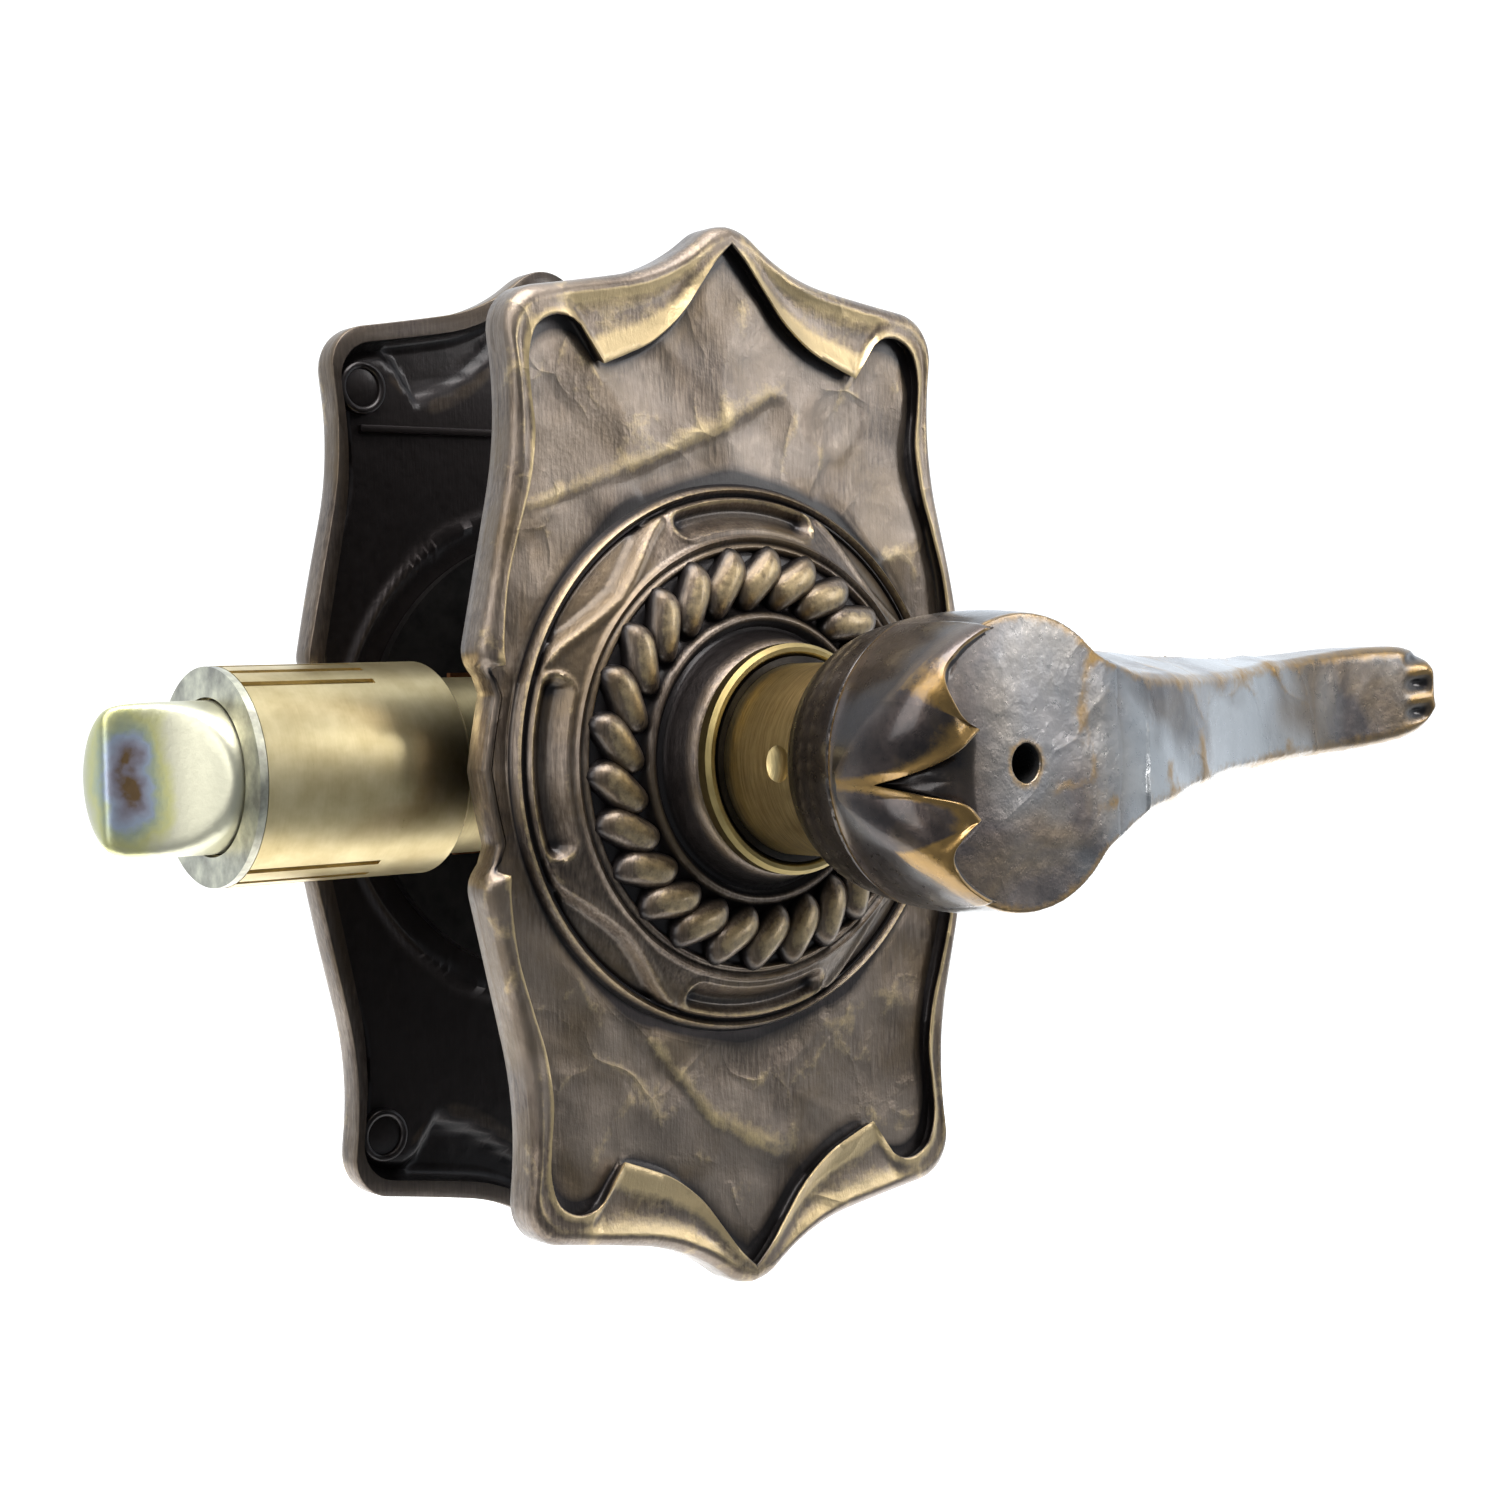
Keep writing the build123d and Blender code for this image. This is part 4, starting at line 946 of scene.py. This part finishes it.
def petals(side, name, node):
    """The two petals as one closed skin, from rows of points that run along the lips: up the
    drum's side, over the round to the lips, down to the field and valley, and back inside."""
    angle, lip = petal_lips()
    reach = head_reach(angle) + 0.12
    width = np.interp(np.degrees(angle), ROUND_ANGLES, ROUND_WIDTHS)
    start = HEAD_FRONT - ROUND_RATIO * width
    ones = np.ones_like(angle)
    # The rows up the drum's side are painted darker, save a rubbed line at the seam: painted shade on the
    # side away from the light
    rows = [
        (reach - 0.5, SEAM - 0.9 * ones, -0.1 * ones),
        (reach - 0.15, SEAM - 0.3 * ones, -0.05 * ones),
        (reach + 0.12, SEAM * ones, 0.06 * ones),
        (reach + 0.05, SEAM + 0.35 * ones, -0.03 * ones),
    ]
    for share in np.linspace(0, 1, 8)[1:-1]:
        rows.append((reach, SEAM + 0.4 + (start - SEAM - 0.4) * share, -0.12 * ones))
    inset = reach - lip
    round_end = np.minimum(inset, width)
    turned = np.degrees(angle)
    band = np.interp(turned, (-50, -25, -15, 15, 25, 50), (2.6, 3.2, 1.5, 1.5, 2.4, 1.4))
    rubbed = np.interp(turned, (-50, -25, 0, 22, 32, 50), (0.19, 0.23, 0.22, 0.22, 0.15, 0.13))
    # The round takes three quarters of the rows and the flat up to the lips the last quarter
    for share in np.linspace(0, 1, 34):
        turn = np.arccos(1 - round_end / width) * min(1, share / 0.75)
        level = (inset - round_end) * max(0, share - 0.75) / 0.25
        radius = reach - width * (1 - np.cos(turn)) - level
        depth = HEAD_FRONT - ROUND_RATIO * width * (1 - np.sin(turn))
        near_vertex = np.hypot(radius - 19.5, angle * 19.5 + 0.4)
        halo = 0.07 * np.exp(-((near_vertex / 2.4) ** 2))
        off_lip = radius - lip
        near_lip = rubbed * np.exp(-((off_lip / band) ** 2))
        at_tips = sum(np.exp(-(((turned - at) / 13) ** 2)) for at in TIP_ANGLES)
        near_tip = 0.19 * at_tips * np.exp(-((off_lip / 6) ** 2))
        bead = LIP * np.exp(-((off_lip / 0.75) ** 2))
        rows.append((radius, depth + bead, -0.13 + near_lip + near_tip + halo))
    top = depth + bead
    floor = np.minimum(valley_floor(lip, angle), top - 0.15)
    # Down the lip's edge to the field and valley: rubbed gold on the edge, and its foot painted darker,
    # painted shade under the lip
    rows.append((lip - 0.25, top - 0.03, 0.12 * ones))
    rows.append((lip - 0.45, top - 0.2, 0.12 * ones))
    rows.append((lip - 0.5, top * 0.7 + floor * 0.3 - 0.1, -0.02 * ones))
    rows.append((lip - 0.42, top * 0.3 + floor * 0.7, -0.14 * ones))
    rows.append((lip - 0.5, floor, -0.16 * ones))
    for share in np.linspace(0, 1, 18)[1:]:
        radius = (lip - 0.5) * (1 - share) + SKIN_END * share
        depth = np.minimum(valley_floor(radius, angle), floor + 14 * share)
        shadow = -0.12 * ease(HEAD_FIELD - depth, 0.3, 2.4)
        shadow = shadow - 0.06 * (1 - ease(share, 0.0, 0.25))
        rows.append((radius, depth, shadow))
    rows.append((10.8 * ones, 48.0 * ones, -0.1 * ones))
    rows.append((reach - 3.0, 43.5 * ones, -0.1 * ones))
    rows.append((reach - 2.4, SEAM - 0.7 * ones, -0.1 * ones))
    radius, depth, lean = (np.array(part) for part in zip(*rows))
    towards = HEAD_MIDDLE[0] + radius * np.cos(angle)
    height = HEAD_MIDDLE[1] + radius * np.sin(angle)
    # Both ends of the petals sink into the drum, and the skin within their lips lies flat
    sunk = np.maximum(ease(turned, 57, 62), ease(-turned, 51, 56))
    sunk = sunk * np.where(radius < lip - 0.3, 0.05, 1)
    inwards = 1 - 0.03 * sunk
    off_door = DOOR_FACE + depth - 0.6 * sunk
    points = np.stack((-towards * inwards, -side * off_door, height * inwards), 2)
    points = swell_head(points, side)
    piece = closed_band(name, points, lean - 0.1 * sunk)
    smooth_by_angle(piece, 70)
    points = points_of(piece)
    a, b = -points[:, 0] - HEAD_MIDDLE[0], points[:, 2] - HEAD_MIDDLE[1]
    on_skin = np.hypot(a, b) > np.interp(np.arctan2(b, a), angle, lip) - 0.6
    worn = np.clip(0.8 * standing(piece, 6), -0.06, 0.05) * on_skin
    paint(piece, "wear_and_shade", painted(piece, "lean") + worn)
    paint(piece, "crease_and_sheen", 0.35 * ease(points[:, 0], -10, 0) * ~on_skin)
    finish_piece(piece, node)


def swell_head(points, side):
    """Swells the drum a little halfway along its depth, like a barrel."""
    x, depth, z = points[..., 0], -side * points[..., 1] - DOOR_FACE, points[..., 2]
    away = np.hypot(x, z)
    along = np.clip(1 - ((depth - 44.5) / 9.4) ** 2, 0, 1)
    part = ease(away, 9, 14) * (1 - ease(x, 4, 14)) * (1 - ease(away, HEAD + 1, HEAD + 4))
    swell = 1 + 0.75 / HEAD * along * part
    return np.stack((x * swell, points[..., 1], z * swell), -1)


# The head's face slopes a little towards the arm: distance from the axis, and depth
FACE_REACH = (3, 8, 12.3, 20.3)
FACE_DEPTHS = (52.62, 52.6, 52.45, 51.5)


def sink_under_petals(piece, side):
    """Lowers the head's own skin where the petals' skin covers it, and evens out the step
    between the head's face and the arm's."""
    points = points_of(piece)
    x, z = points[:, 0].copy(), points[:, 2].copy()
    depth = -side * points[:, 1] - DOOR_FACE
    radius = np.hypot(-x - HEAD_MIDDLE[0], z - HEAD_MIDDLE[1])
    angle = np.arctan2(z - HEAD_MIDDLE[1], -x - HEAD_MIDDLE[0])
    turned = np.degrees(angle)
    covered = (turned < 54) & (turned > -48) & (depth > SEAM - 0.2) & (radius > 11.3)
    cover = petal_front(np.minimum(radius, head_reach(angle) - 0.3), angle) - 0.7
    depth = np.where(covered, np.minimum(depth, np.maximum(cover, SEAM)), depth)
    away = np.hypot(x, z)
    inwards = np.where(covered & (away > HEAD - 0.6), (HEAD - 0.6) / away, 1)
    face = np.interp(x, FACE_REACH, FACE_DEPTHS)
    depth = np.where(x < 20, np.minimum(depth, face), depth)
    points[:, 0] *= inwards
    points[:, 2] *= inwards
    points[:, 1] = -side * (DOOR_FACE + depth)
    move_points(piece, swell_head(points, side))


def crumple(piece):
    """Presses the arm in a little between the folds of a crumpled sheet. Returns the gold of the
    folds."""
    points = points_of(piece)
    amount = 0.3 * ease(points[:, 0], 13, 22) * (1 - ease(points[:, 0], 58, 78))
    deep = creases(points, 17)
    pressed = amount * np.clip(2.2 * deep, 0, 1)
    move_points(piece, points - normals_of(piece) * pressed[:, None])
    on_face = ease(points[:, 0], 1, 7) * (1 - ease(points[:, 0], 40, 70))
    return 0.1 * np.exp(-((deep / 0.07) ** 2)) * on_face


# The arm rises a little towards its tip, whose flutes and ridges lie at these heights over it
TILT = 0.07
FLUTES = (4.3, 0.8, -2.8)
RIDGES = (2.6, -1.1)


def flute_tip(piece, side):
    """Presses the flutes into the face of the arm's tip, with sharp ridges between them.
    Returns how much more gold the ridges have and how much less the flutes."""
    points = points_of(piece)
    depth = -side * points[:, 1] - DOOR_FACE
    height = points[:, 2] - points[:, 0] * TILT
    near = ease(points[:, 0], 78.6, 81.6) * (1 - ease(points[:, 0], 82.3, 84.0))
    near = near * ease(depth, 38.6, 40.0)
    flutes = sum(np.exp(-(((height - at) / 0.7) ** 2)) for at in FLUTES)
    ridges = sum(np.exp(-(((height - at) / 0.5) ** 2)) for at in RIDGES)
    depth = depth - near * (0.85 * flutes - 0.15 * ridges)
    points[:, 1] = -side * (DOOR_FACE + depth)
    move_points(piece, points)
    return near * (0.1 * ridges - 0.14 * flutes)


# Levers: the solid's form with its edges softened as on a casting
for trim, side in SIDES:
    node = f"{trim}_lever"
    piece = copy_of(node, f"{trim}_handle")
    apply_modifier(piece, "REMESH", mode="VOXEL", voxel_size=0.4 * MM)
    apply_modifier(piece, "SMOOTH", factor=0.5, iterations=4)
    sink_under_petals(piece, side)
    gilt = crumple(piece) + flute_tip(piece, side)
    smooth_by_angle(piece, 180)
    points = points_of(piece)
    away = np.hypot(points[:, 0], points[:, 2])
    depth = -side * points[:, 1] - DOOR_FACE
    # The drum's side and the head behind the petals are painted darker and less gold: painted shade on the
    # side away from the light
    drum = ease(away, HEAD - 0.9, HEAD - 0.3) * (depth < 52.2) * (1 - ease(points[:, 0], 10, 17))
    drum = np.maximum(drum, (depth < SEAM - 2) * (1 - ease(points[:, 0], 14, 23)))
    field = (away > 4) & (away < HEAD - 1.5) & (depth > 46) & (points[:, 0] < 13)
    worn = np.clip(1.2 * standing(piece, 10), -0.16, 0.08) * (1 - 0.7 * drum) * ~field
    paint(piece, "wear_and_shade", 0.5 - 0.12 * drum + worn + gilt)
    crease_and_sheen_mask = ease(points[:, 0], -10, 0) * (0.35 + 0.65 * ease(points[:, 0], 8, 24)) * (1 - drum)
    paint(piece, "crease_and_sheen", crease_and_sheen_mask * (1 - 0.8 * ease(points[:, 0], 52, 72)))
    finish_piece(piece, node)
    petals(side, f"{trim}_petals", node)


def dished_end(name, node):
    """The shank's round dimple: a dished end that closes the set screw's hole, hollowed by a
    ball of 4 mm radius."""
    middle = points_of(frame["nodes"][node])[:, 1].mean() * MM
    bpy.ops.object.select_all(action="DESELECT")
    bpy.ops.mesh.primitive_uv_sphere_add(
        segments=96, ring_count=48, radius=4 * MM, location=(-14.5 * MM, middle, 0)
    )
    ball = bpy.context.object
    bpy.ops.mesh.primitive_cylinder_add(
        vertices=64,
        radius=2.08 * MM,
        depth=3.2 * MM,
        location=(-9.6 * MM, middle, 0),
        rotation=(0, pi / 2, 0),
    )
    piece = bpy.context.object
    piece.name = name
    apply_modifier(piece, "BOOLEAN", operation="DIFFERENCE", object=ball)
    bpy.data.objects.remove(ball)
    bpy.ops.object.transform_apply(location=True, rotation=True, scale=True)
    smooth_by_angle(piece, 30)
    finish_piece(piece, node, "shank_brass")


# Everything else keeps its solid's shape, the bolt with its edges rounded
for node, slot in node_slot.items():
    if slot == "plate_bronze" or node.endswith("_lever"):
        continue
    if node.endswith("set_screw"):
        dished_end(f"{node}_dressed", node)
        continue
    piece = copy_of(node, f"{node}_dressed")
    smooth_by_angle(piece, 35 if node.endswith("_spring") or node == "latch_collar" else 30)
    if node == "latch_bolt":
        apply_modifier(piece, "REMESH", mode="VOXEL", voxel_size=0.25 * MM)
        apply_modifier(piece, "SMOOTH", factor=0.5, iterations=120)
        smooth_by_angle(piece, 60)
    finish_piece(piece, node, "ring_brass" if node == "privacy_button" else slot)
    if "chassis" in node:
        piece.data.materials[0] = black_steel

# Floor and light
bpy.ops.object.select_all(action="DESELECT")
bpy.ops.mesh.primitive_plane_add(size=0.9, location=(0.2, 0.38, -0.16))
floor = bpy.context.object
floor.name = "floor"
floor_paint = new_material("matt_white_floor")
matt_white = add_node(
    floor_paint,
    "ShaderNodeBsdfPrincipled",
    Base_Color="#f4f4f2",
    Roughness=0.9,
    Emission_Color=WHITE,
    Emission_Strength=0.75,
)
add_node(floor_paint, "ShaderNodeOutputMaterial", Surface=matt_white)
floor.data.materials.append(floor_paint)


def area_light(name, place, size, power):
    """A soft white light that faces the origin."""
    light = bpy.data.lights.new(name, "AREA")
    light.shape = "RECTANGLE"
    light.size, light.size_y = size
    light.energy = power
    lamp = bpy.data.objects.new(name, light)
    lamp.location = place
    lamp.rotation_euler = (-Vector(place)).to_track_quat("-Z", "Y").to_euler()
    bpy.context.scene.collection.objects.link(lamp)


area_light("top_light", (-0.15, -0.25, 0.75), (0.8, 0.6), 16.0)
area_light("left_light", (-0.8, -0.15, 0.3), (0.4, 0.8), 4.0)
area_light("right_light", (0.6, -0.7, 0.3), (0.15, 0.6), 3.0)

# The room: white behind the object and over it, dim on the camera's side, and plain white to see
world = bpy.data.worlds.new("studio")
bpy.context.scene.world = world
world.use_nodes = True
world.node_tree.nodes.clear()
place = add_node(world, "ShaderNodeTexCoord", out="Generated")
away_from_camera = (-back.x, -back.y, 0.25)
facing = add_node(
    world,
    "ShaderNodeVectorMath",
    {"operation": "DOT_PRODUCT"},
    out="Value",
    i0=place,
    i1=away_from_camera,
)
facing = add_node(world, "ShaderNodeMapRange", Value=facing, From_Min=-1, From_Max=1)
walls = ((0.2, "#6c7278"), (0.45, "#9aa2aa"), (0.8, "#eef6ff"))
room = add_node(world, "ShaderNodeValToRGB", stops=walls, Fac=facing)
room = add_node(world, "ShaderNodeBackground", Color=room, Strength=1.45)
plain = add_node(world, "ShaderNodeBackground", Color=WHITE, Strength=1.3)
seen = add_node(world, "ShaderNodeLightPath", out="Is Camera Ray")
mixed = add_node(world, "ShaderNodeMixShader", i0=seen, i1=room, i2=plain)
add_node(world, "ShaderNodeOutputWorld", Surface=mixed)
bpy.context.scene.view_settings.view_transform = "Standard"
